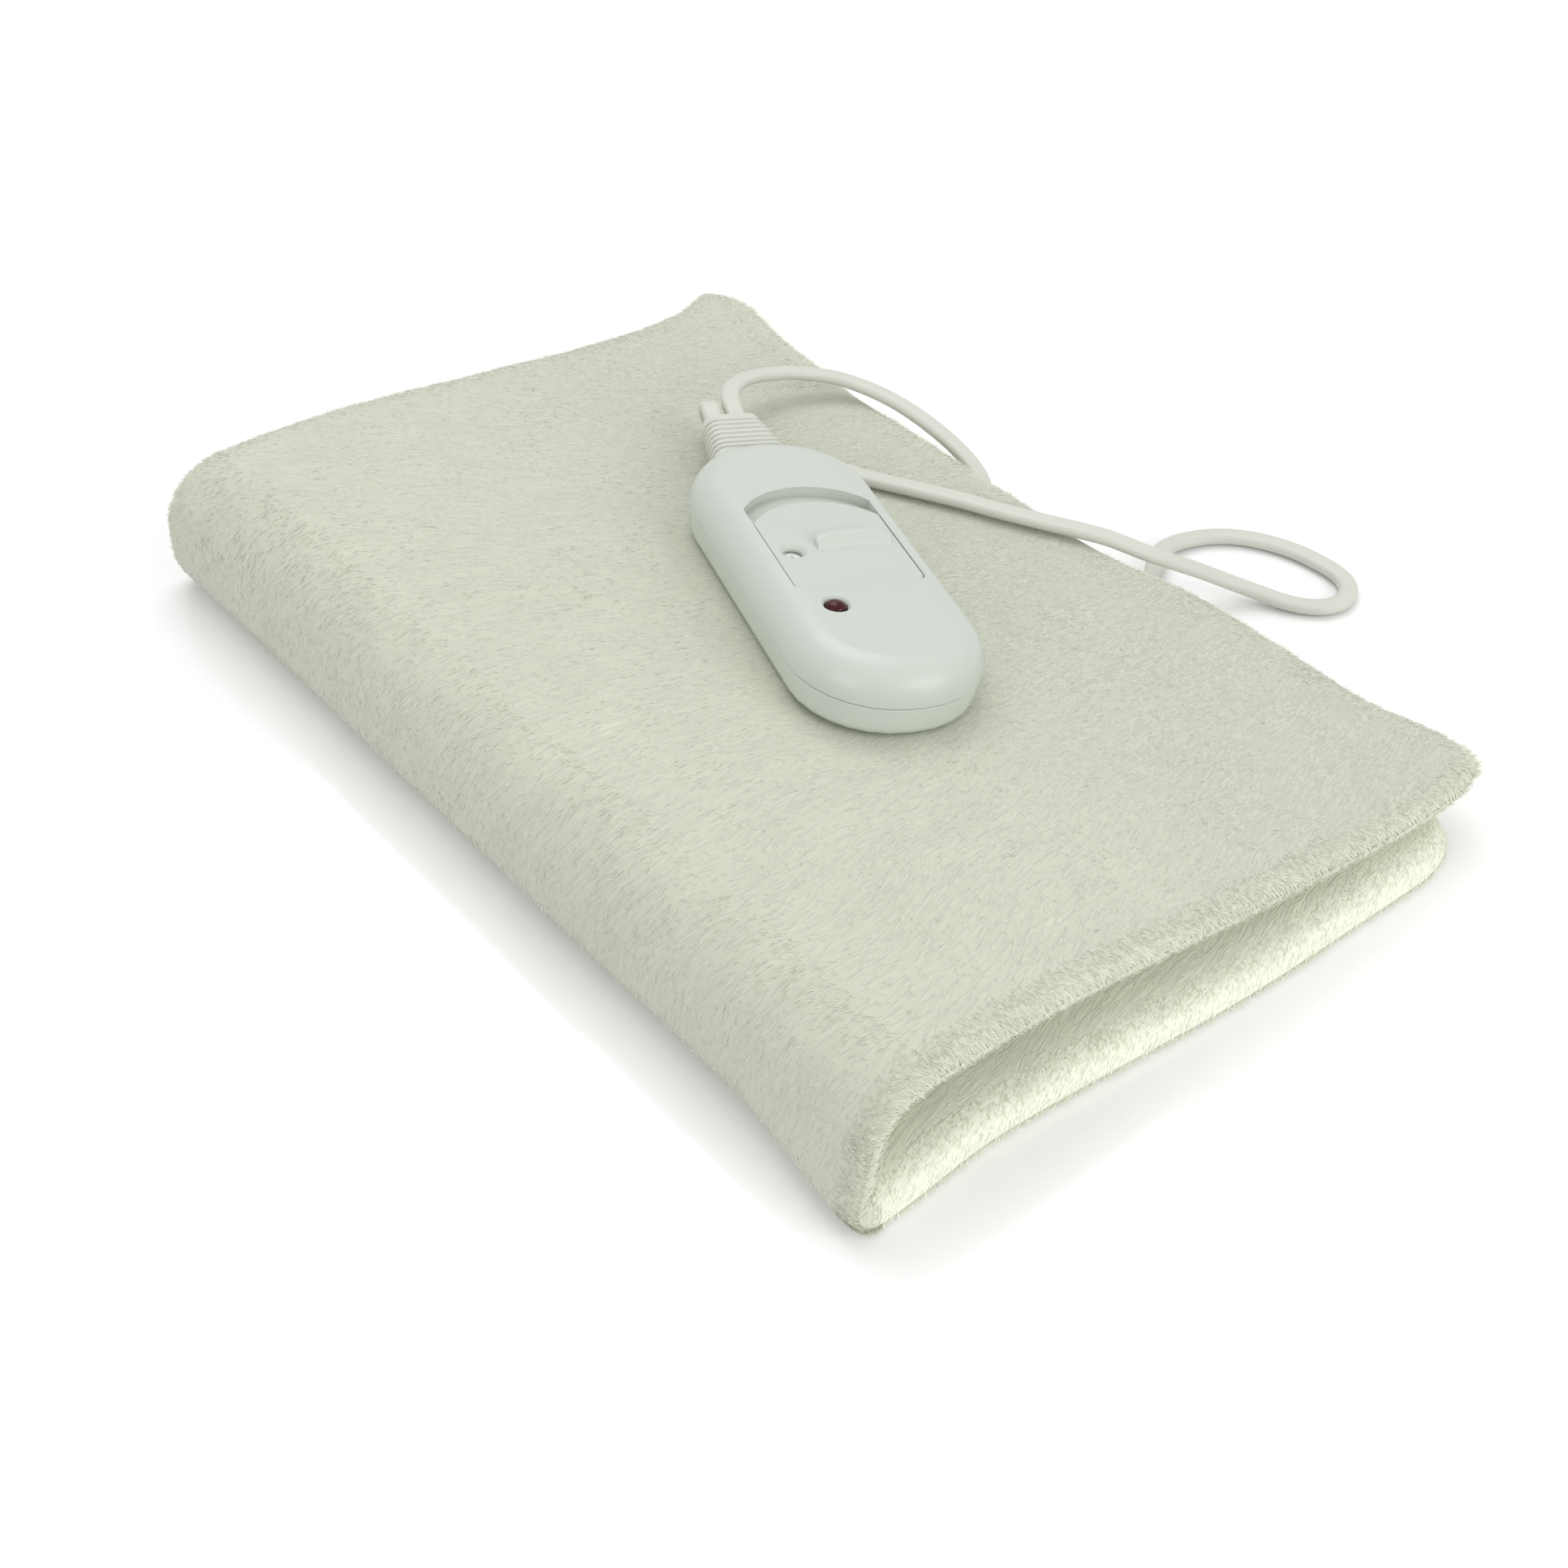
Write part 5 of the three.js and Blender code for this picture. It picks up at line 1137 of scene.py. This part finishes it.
class HEATINGPAD_OT_fleece(bpy.types.Operator):
    """Folds the fleece pad: one padded mat, sewn at its rim, that turns over the fold"""

    bl_idname = "heating_pad.fleece"
    bl_label = "Fleece pad"

    def execute(self, context):
        sizes = context.scene.heating_pad
        shape = PadShape(sizes)
        runs = graded(shape.whole_run, sizes.rim_round, sizes.grid)
        shares = graded(sizes.length, sizes.rim_round, sizes.grid) / sizes.length * 2 - 1
        mesh = grids_joined(len(runs), len(shares))
        flat = read(mesh.vertices, "co", 3, float)
        column = np.rint((flat[:, 0] + 1) / 2 * (len(runs) - 1)).astype(int)
        row = np.rint((flat[:, 1] + 1) / 2 * (len(shares) - 1)).astype(int)
        inner = flat[:, 2] > 0.5
        run = runs[column]
        y = shares[row] * shape.half_length(run)
        places = shape.surface(run, y, inner, shape.swelling(run, y, inner))
        mesh.vertices.foreach_set("co", places.astype(np.float32).ravel())
        drawn = shape.drawn_in(run, y)
        add_attribute(mesh, "brush", brush_places(shape, run, y, inner.astype(float)))
        # The rim attribute is the mask of the fleece's painted highlight at the rim
        add_attribute(mesh, "rim", ramp(drawn, 0, RIM_SHARE))
        bm = bmesh.new()
        bm.from_mesh(mesh)
        bmesh.ops.recalc_face_normals(bm, faces=bm.faces)
        bm.to_mesh(mesh)
        bm.free()

        fleece = finish_of("outer_fleece", brushed_fleece, sizes.fleece)
        piece = link_piece("fleece_pad", mesh, fleece, sharp=None)
        # Painted light: the faces in the fold get the fleece that is painted lighter
        mesh.materials.append(finish_of("inner_fleece", brushed_fleece, sizes.inner_fleece))
        mesh.update()
        lower = inner | (drawn > LOWER_RIM_SHARE)
        inside = np.where(run < shape.lower_run, lower, inner & (drawn < UPPER_RIM_SHARE)).astype(int)
        first = read(mesh.loops, "vertex_index")[read(mesh.polygons, "loop_start")]
        mesh.polygons.foreach_set("material_index", inside[first])
        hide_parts("outer_fleece_panel", "inner_fleece_panel")
        return {"FINISHED"}


# How much wider a strand is at its middle than at its root, and how deep its root stands in the fleece
STRAND_BELLY = 1.8
ROOT_DEPTH = 0.00012
TIPS_ABOVE_FLOOR = 0.00003

# How far the strands keep off the housing, in millimetres, and off the cords' middles, in metres
HOUSING_BARE = 1.5
CORD_BARE = 0.0045

# The spread of the strands' length, width and lift, and of their curl as a share of the length
LENGTH_SHARES = (0.55, 1.3)
WIDTH_SHARES = (0.7, 1.3)
LIFT_SHARES = (0.2, 1.4)
CURL_SHARE = 0.16

# How light the strands are: by chance, and with a painted highlight at the rim
TONE_SHARE = 0.45
RIM_HIGHLIGHT_SHARE = 0.5

# How the strands turn towards each rim over a length, in patches (waves per metre and angle), and each by
# itself, where the second number goes with how wild a patch is
RIM_TURN = 0.012
RIM_WAYS = {"near": (2.2, -2.4), "far": (-0.4, 2.6), "open": (2.6, -0.6), "low": (-2.6, -0.6)}
PATCH_TURNS = ((30, 0.5), (90, 0.35))
STRAY_TURNS = (0.16, 0.4)


def strand_form():
    """One brushed strand with its flat side up, pointed at its tip: its points as width, thickness and
    share of the length, and its faces."""
    bm = bmesh.new()
    bmesh.ops.create_cone(bm, cap_ends=True, segments=3, radius1=1, radius2=0, depth=1)
    bmesh.ops.rotate(bm, verts=bm.verts, cent=(0, 0, 0), matrix=Matrix.Rotation(math.pi, 3, "Z"))
    bmesh.ops.translate(bm, verts=bm.verts, vec=(0, 0, 0.5))
    geometry = bm.verts[:] + bm.edges[:] + bm.faces[:]
    middle = bmesh.ops.bisect_plane(bm, geom=geometry, plane_co=(0, 0, 0.5), plane_no=(0, 0, 1))["geom_cut"]
    for vert in (v for v in middle if isinstance(v, bmesh.types.BMVert)):
        vert.co.xy *= STRAND_BELLY
    bmesh.ops.remove_doubles(bm, verts=bm.verts, dist=1e-5)
    bmesh.ops.recalc_face_normals(bm, faces=bm.faces)
    bm.verts.index_update()
    places = np.array([tuple(v.co) for v in bm.verts])
    faces = [[v.index for v in f.verts] for f in bm.faces]
    bm.free()
    return places, faces


def brush_direction(shape, run, y, rng, wild):
    """Which way the strands point, along the run and along the fold, as unit vectors."""
    size = shape.sizes
    from_fold = (run - shape.upper_start) / MM
    bent = smooth(from_fold / BEND_EASE)
    held = np.maximum(from_fold, 0) + BEND_START
    way = np.stack([-STROKE_SCALE - STROKE_BEND * held, STROKE_LEAN + STROKE_BEND * bent * y / MM], -1)
    from_rims = {
        "near": size.length / 2 + y,
        "far": size.length / 2 - y,
        "open": shape.whole_run - run,
        "low": run,
    }
    for rim, from_rim in from_rims.items():
        way = way + (1 - ramp(from_rim, 0, RIM_TURN))[:, None] * np.array(RIM_WAYS[rim])
    turn = layered_noise(np.stack([run, y, 0 * run], -1), PATCH_TURNS, 4)
    turn = turn + rng.normal(0, 1, len(run)) * (STRAY_TURNS[0] + STRAY_TURNS[1] * wild)
    angle = np.arctan2(way[:, 1], way[:, 0]) + turn
    return np.stack([np.cos(angle), np.sin(angle)], -1)


def scattered(rng, start, end, gather, count):
    """Random places from start to end that gather at the start where the power is above 1."""
    return start + (end - start) * rng.uniform(0, 1, count) ** gather


def unit(vectors):
    return vectors / np.linalg.norm(vectors, axis=1)[:, None]


def fleece_axes(shape, run, y, inner, swelling, root, step=0.0006):
    """Unit vectors along the run, along the fold and out of the fleece at each root."""
    inward = np.where(run < shape.whole_run / 2, 1, -1)
    sidewise = np.where(y > 0, -1, 1)
    along_run = unit((shape.surface(run + step * inward, y, inner, swelling) - root) * inward[:, None])
    along_fold = unit((shape.surface(run, y + step * sidewise, inner, swelling) - root) * sidewise[:, None])
    return along_run, along_fold, unit(np.cross(along_run, along_fold) * np.where(inner, -1, 1)[:, None])


def strand_mesh(name, spots, faces):
    """One mesh of many strands: spots holds the points of each strand, and all have the same faces."""
    n, size = spots.shape[:2]
    corners = np.concatenate([np.array(f) for f in faces])
    starts = np.cumsum([0] + [len(f) for f in faces])[:-1]
    strand = np.arange(n)[:, None]
    mesh = bpy.data.meshes.new(name)
    mesh.vertices.add(n * size)
    mesh.vertices.foreach_set("co", spots.astype(np.float32).ravel())
    mesh.loops.add(n * len(corners))
    mesh.loops.foreach_set("vertex_index", (corners + strand * size).ravel().astype(np.int32))
    mesh.polygons.add(n * len(faces))
    mesh.polygons.foreach_set("loop_start", (starts + strand * len(corners)).ravel().astype(np.int32))
    mesh.update(calc_edges=True)
    return mesh


def pile_patch(name, shape, sizes, finish, count, runs, places, inner, seed, longer=1.0, wild=0.2):
    """Strands of pile over a stretch of the fleece, each a small closed spike that lies along the brush."""
    rng = np.random.default_rng(sizes.seed * 100 + seed)
    run = scattered(rng, *runs, count)
    y = scattered(rng, *places, count) * shape.half_length(run) / (shape.sizes.length / 2)
    inner = np.full(count, inner)
    swelling = shape.swelling(run, y, inner)
    root = shape.surface(run, y, inner, swelling)
    covered = (outside_housing(root) < HOUSING_BARE) | (nearest_distance(root, shape.cords) < CORD_BARE)
    clear = ~((run > shape.upper_start) & ~inner & covered)
    run, y, inner, root, swelling = run[clear], y[clear], inner[clear], root[clear], swelling[clear]
    along_run, along_fold, normal = fleece_axes(shape, run, y, inner, swelling, root)
    way = brush_direction(shape, run, y, rng, wild)
    direction = unit(along_run * way[:, :1] + along_fold * way[:, 1:])
    across = np.cross(normal, direction)

    n = len(run)
    length = sizes.length * longer * rng.uniform(*LENGTH_SHARES, n)[:, None, None]
    width = sizes.width / 2 * rng.uniform(*WIDTH_SHARES, n)[:, None, None]
    lift = sizes.lift * rng.uniform(*LIFT_SHARES, n)[:, None, None]
    curl = sizes.length * rng.normal(0, CURL_SHARE, n)[:, None, None]
    form, faces = strand_form()
    side, thick, share = form[None, :, :1], form[None, :, 1:2], form[None, :, 2:]
    rise = lift * share - ROOT_DEPTH * (1 - share) + thick * sizes.thickness / 2
    aside = width * side + curl * share * share
    spots = root[:, None] + direction[:, None] * length * share
    spots = spots + across[:, None] * aside + normal[:, None] * rise
    spots[..., 2] = np.maximum(spots[..., 2], TIPS_ABOVE_FLOOR)

    mesh = strand_mesh(name, spots, faces)
    # Painted highlight: strands near the rim are painted lighter
    rim_highlight = ramp(shape.drawn_in(run, y), 0, RIM_SHARE)
    tones_and_highlights = TONE_SHARE * rng.uniform(0, 1, n) ** 1.5 + RIM_HIGHLIGHT_SHARE * rim_highlight
    add_attribute(mesh, "tone", np.repeat(tones_and_highlights, len(form)))
    piece = link_piece(name, mesh, finish, sharp=None)
    mesh.polygons.foreach_set("use_smooth", [False] * len(mesh.polygons))


# Widths of the patches of pile, in metres
RIM_WIDTH = 0.008
TOP_OVERLAP = 0.004
FOOT_BARE = 0.002
MOUTH_DEPTH = 0.05


class HEATINGPAD_OT_pile(bpy.types.Operator):
    """Covers the fleece with brushed strands, shorter and overhanging at the rims"""

    bl_idname = "heating_pad.pile"
    bl_label = "Fleece pile"

    def execute(self, context):
        sizes = context.scene.heating_pile
        pad = context.scene.heating_pad
        shape = PadShape(pad)
        outer = finish_of("pile_strands", pile_strands, pad.fleece)
        # Painted light: the strands in the fold get the fleece colour that is painted lighter
        inner = finish_of("inner_pile_strands", pile_strands, pad.inner_fleece)
        half, end, lower_end = pad.length / 2, shape.whole_run, shape.lower_run

        # Stretches of the run and of the fold's length: start, end, and how the strands gather at the start
        every, upper, lower = (0, end, 1), (lower_end, end, 1), (0, lower_end, 1)
        top, turn = (shape.upper_start - TOP_OVERLAP, end, 1), (lower_end + FOOT_BARE, shape.upper_start, 1)
        open_edge, low_edge = (end, end - RIM_WIDTH, 2), (0, RIM_WIDTH, 2)
        whole, near, far = (-half, half, 1), (-half, RIM_WIDTH - half, 2), (half, half - RIM_WIDTH, 2)
        mouth = (-half, MOUTH_DEPTH - half, 1.5)
        patches = (
            ("pile_top", top, whole, False, 0.6, 0.9, 0.4),
            ("pile_fold", turn, whole, False, 0.5, 1.0, 0.2),
            ("pile_near_rim_upper", upper, near, False, 0.45, 0.7, 0.2),
            ("pile_near_rim_under", upper, near, True, 0.2, 0.6, 0.2),
            ("pile_near_rim_lower", lower, near, True, 0.2, 0.6, 0.2),
            ("pile_near_rim_floor", lower, near, False, 0.15, 0.6, 0.2),
            ("pile_far_rim", every, far, False, 0.4, 0.8, 0.2),
            ("pile_far_rim_inside", every, far, True, 0.3, 0.8, 0.2),
            ("pile_open_rim", open_edge, whole, False, 0.4, 0.8, 0.2),
            ("pile_open_rim_under", open_edge, whole, True, 0.3, 0.8, 0.2),
            ("pile_low_rim", low_edge, whole, True, 0.3, 0.8, 0.2),
            ("pile_low_rim_floor", low_edge, whole, False, 0.15, 0.7, 0.2),
            ("pile_mouth", lower, mouth, True, 0.1, 0.8, 0.4),
        )
        for i, (name, runs, places, within, share, longer, wild) in enumerate(patches):
            finish = inner if within or runs == lower else outer
            count = round(share * sizes.strands)
            pile_patch(name, shape, sizes, finish, count, runs, places, within, i, longer, wild)
        return {"FINISHED"}


# Edges of the shells and the button that are rounded, found by their middles in millimetres
RECESS_FLOOR = 18.6
RECESS_NEAR, RECESS_FAR = -21, 32
RECESS_HALF_WIDTH = 18.2
LENS_HOLE_FLOOR = 18.9
LENS_HOLE_NEAR, LENS_HOLE_FAR = -32.5, -23
LENS_HOLE_SIDE = -5
PARTING_TOP = 8.8
PARTING_FOOT = 8.3
PARTING_DEPTH = 0.4
BUTTON_FLOOR = 18.5

# How round the parting line's and the button's edges are beside the recess's
FINE_ROUND_SHARE = 0.6


def inside_outline(middle):
    """Distance in millimetres of a place inside the housing's widest outline."""
    past = (max(abs(p) - core, 0) for p, core in zip(middle.xy, HOUSING_CORE))
    return HOUSING_ROUND - math.hypot(*past)


def on_upper_edges(middle):
    x, y, z = middle
    on_recess = z > RECESS_FLOOR and RECESS_NEAR < y < RECESS_FAR and abs(x) < RECESS_HALF_WIDTH
    on_lens_hole = z > LENS_HOLE_FLOOR and LENS_HOLE_NEAR < y < LENS_HOLE_FAR and x < LENS_HOLE_SIDE
    return on_recess or on_lens_hole or (z < PARTING_TOP and inside_outline(middle) < PARTING_DEPTH)


def on_lower_edges(middle):
    return middle.z > PARTING_FOOT and inside_outline(middle) < PARTING_DEPTH


def on_button_edges(middle):
    return middle.z > BUTTON_FLOOR


class HEATINGPAD_OT_shells(bpy.types.Operator):
    """Makes the controller's two housing shells with rounded moulded edges"""

    bl_idname = "heating_pad.shells"
    bl_label = "Housing shells"

    def execute(self, context):
        sizes = context.scene.heating_controller
        shell = finish_of("moulded_shell", moulded, sizes.shell)
        lighter = finish_of("lower_moulded_shell", moulded, shade(sizes.shell, 1.05))
        fine = FINE_ROUND_SHARE * sizes.edge_round
        upper = {"offset": sizes.edge_round, "chosen": on_upper_edges, "slot": "housing_shell"}
        lower = {"offset": fine, "chosen": on_lower_edges, "slot": "housing_shell"}
        refined("upper_shell", "upper_housing", shell, **upper)
        refined("lower_shell", "lower_housing", lighter, **lower)
        return {"FINISHED"}


class HEATINGPAD_OT_button(bpy.types.Operator):
    """Makes the sliding button with its finger ridge and sight hole"""

    bl_idname = "heating_pad.button"
    bl_label = "Sliding button"

    def execute(self, context):
        sizes = context.scene.heating_controller
        shell = finish_of("moulded_shell", moulded, sizes.shell)
        fine = FINE_ROUND_SHARE * sizes.edge_round
        edges = {"offset": fine, "chosen": on_button_edges, "slot": "housing_shell"}
        refined("level_button", "slider_button", shell, body=SLIDER_BODY, **edges)
        return {"FINISHED"}


class HEATINGPAD_OT_lens(bpy.types.Operator):
    """Makes the dark red lens of the indicator lamp"""

    bl_idname = "heating_pad.lens"
    bl_label = "Lamp lens"

    def execute(self, context):
        glass = finish_of("red_lens", clear_tinted, context.scene.heating_controller.lens)
        refined("red_lens", "lamp_lens", glass, slot="lamp_red", sharp=50)
        return {"FINISHED"}


class HEATINGPAD_OT_relief(bpy.types.Operator):
    """Makes the ribbed strain relief of the two cords"""

    bl_idname = "heating_pad.relief"
    bl_label = "Strain relief"

    def execute(self, context):
        refined("ribbed_relief", "strain_relief", cord_rubber(context), slot="cord_rubber")
        return {"FINISHED"}


# The level numbers: the first one's place on the scale plate and the way to the next, in millimetres, half
# the ink's thickness in metres, and a digit's height as a share of the letters' size
LEVELS = 3
NUMBER_PLACE = (-11.8, -1, 16.4)
NUMBER_STEP = 3.6
INK_THICKNESS = 0.00003
DIGIT_SHARE = 0.7


class HEATINGPAD_OT_numbers(bpy.types.Operator):
    """Prints the level numbers on the plate under the sight hole"""

    bl_idname = "heating_pad.numbers"
    bl_label = "Level numbers"

    def execute(self, context):
        sizes = context.scene.heating_controller
        ink = finish_of("printed_ink", moulded, (0.03, 0.035, 0.035), 0.5, 0.00001, 0)
        for level in range(LEVELS):
            curve = bpy.data.curves.new(f"level_{level}", "FONT")
            curve.body = str(level)
            curve.size = sizes.digit / DIGIT_SHARE
            curve.extrude = INK_THICKNESS
            curve.align_x = "CENTER"
            curve.align_y = "CENTER"
            source = bpy.data.objects.new(f"level_{level}", curve)
            context.scene.collection.objects.link(source)
            context.view_layer.update()
            bm = bmesh.new()
            bm.from_mesh(source.to_mesh())
            source.to_mesh_clear()
            bpy.data.objects.remove(source)
            bpy.data.curves.remove(curve)
            x, y, z = NUMBER_PLACE
            spot = Vector((x, y + level * NUMBER_STEP, z)) * MM
            place = CONTROLLER @ Matrix.Translation(spot)
            new_piece(f"level_number_{level}", bm, ink, place=place)
        return {"FINISHED"}


def numbered(name, count):
    return tuple(f"{name}_{i + 1}" for i in range(count))


# Pieces whose CAD shape stays: each finish with its maker, its colour and roughness, and the nodes it goes on
CARRIED_OVER = {
    "felt": (matted_felt, ((0.75, 0.73, 0.66),), ("heater_felt",)),
    "wire_insulation": (moulded, ((0.5, 0.04, 0.03), 0.45), ("heating_wire",)),
    "cutout_case": (metal, ((0.55, 0.57, 0.6), 0.35), numbered("thermal_cutout", 2)),
    "scale_plate": (moulded, ((0.88, 0.89, 0.86), 0.4), ("level_scale",)),
    "lamp_glass": (clear_tinted, ((0.45, 0.02, 0.02), 0.15), ("lamp",)),
    "board": (printed_board, ((0.05, 0.2, 0.07),), ("circuit_board",)),
    "switch_case": (moulded, ((0.022, 0.022, 0.024), 0.45), ("slide_switch", "switch_knob", "diode")),
    "fuse_glass": (metal, ((0.7, 0.72, 0.72), 0.2), ("fuse",)),
    "capacitor_case": (moulded, ((0.65, 0.45, 0.05), 0.4), ("capacitor",)),
    "clamp_plastic": (moulded, ((0.8, 0.8, 0.76), 0.5), ("cord_clamp", "hank_tie")),
    "lead_insulation": (moulded, ((0.15, 0.07, 0.04), 0.5), numbered("lead", 4)),
    "steel": (metal, ((0.6, 0.59, 0.57),), numbered("housing_screw", 4) + numbered("plug_pin", 2)),
}


class HEATINGPAD_OT_finishes(bpy.types.Operator):
    """Gives the carried-over CAD nodes their finishes"""

    bl_idname = "heating_pad.finishes"
    bl_label = "Finishes of the carried-over pieces"

    def execute(self, context):
        for name, (maker, values, nodes) in CARRIED_OVER.items():
            finish = finish_of(name, maker, *values)
            for node in nodes:
                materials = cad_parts[node].data.materials
                materials.clear()
                materials.append(finish)
        return {"FINISHED"}


class HEATINGPAD_PT_pieces(bpy.types.Panel):
    """Lists the object's pieces and sizes"""

    bl_idname = "HEATINGPAD_PT_pieces"
    bl_label = "Heating Pad"
    bl_space_type = "VIEW_3D"
    bl_region_type = "UI"
    bl_category = "Heating Pad"

    def draw(self, context):
        for operator in OPERATORS:
            self.layout.operator(operator.bl_idname)
        for group in GROUPS:
            box = self.layout.box()
            sizes = getattr(context.scene, group)
            for name in sizes.bl_rna.properties.keys():
                if name not in ("rna_type", "name"):
                    box.prop(sizes, name)


GROUPS = {
    "heating_pad": PadSizes,
    "heating_pile": PileSizes,
    "heating_controller": ControllerSizes,
    "heating_cords": CordSizes,
    "heating_stage": StageSizes,
}

OPERATORS = (
    HEATINGPAD_OT_stage,
    HEATINGPAD_OT_mains_cord,
    HEATINGPAD_OT_pad_cord,
    HEATINGPAD_OT_fleece,
    HEATINGPAD_OT_pile,
    HEATINGPAD_OT_shells,
    HEATINGPAD_OT_button,
    HEATINGPAD_OT_lens,
    HEATINGPAD_OT_relief,
    HEATINGPAD_OT_numbers,
    HEATINGPAD_OT_finishes,
)


def register():
    for made in (*GROUPS.values(), *OPERATORS, HEATINGPAD_PT_pieces):
        bpy.utils.register_class(made)
    for name, group in GROUPS.items():
        setattr(bpy.types.Scene, name, PointerProperty(type=group))


def unregister():
    for name in GROUPS:
        delattr(bpy.types.Scene, name)
    for made in reversed((*GROUPS.values(), *OPERATORS, HEATINGPAD_PT_pieces)):
        bpy.utils.unregister_class(made)


def main():
    register()
    bpy.ops.heating_pad.stage()
    bpy.ops.heating_pad.mains_cord()
    bpy.ops.heating_pad.pad_cord()
    bpy.ops.heating_pad.fleece()
    bpy.ops.heating_pad.pile()
    bpy.ops.heating_pad.shells()
    bpy.ops.heating_pad.button()
    bpy.ops.heating_pad.lens()
    bpy.ops.heating_pad.relief()
    bpy.ops.heating_pad.numbers()
    bpy.ops.heating_pad.finishes()


if __name__ == "__main__":
    main()
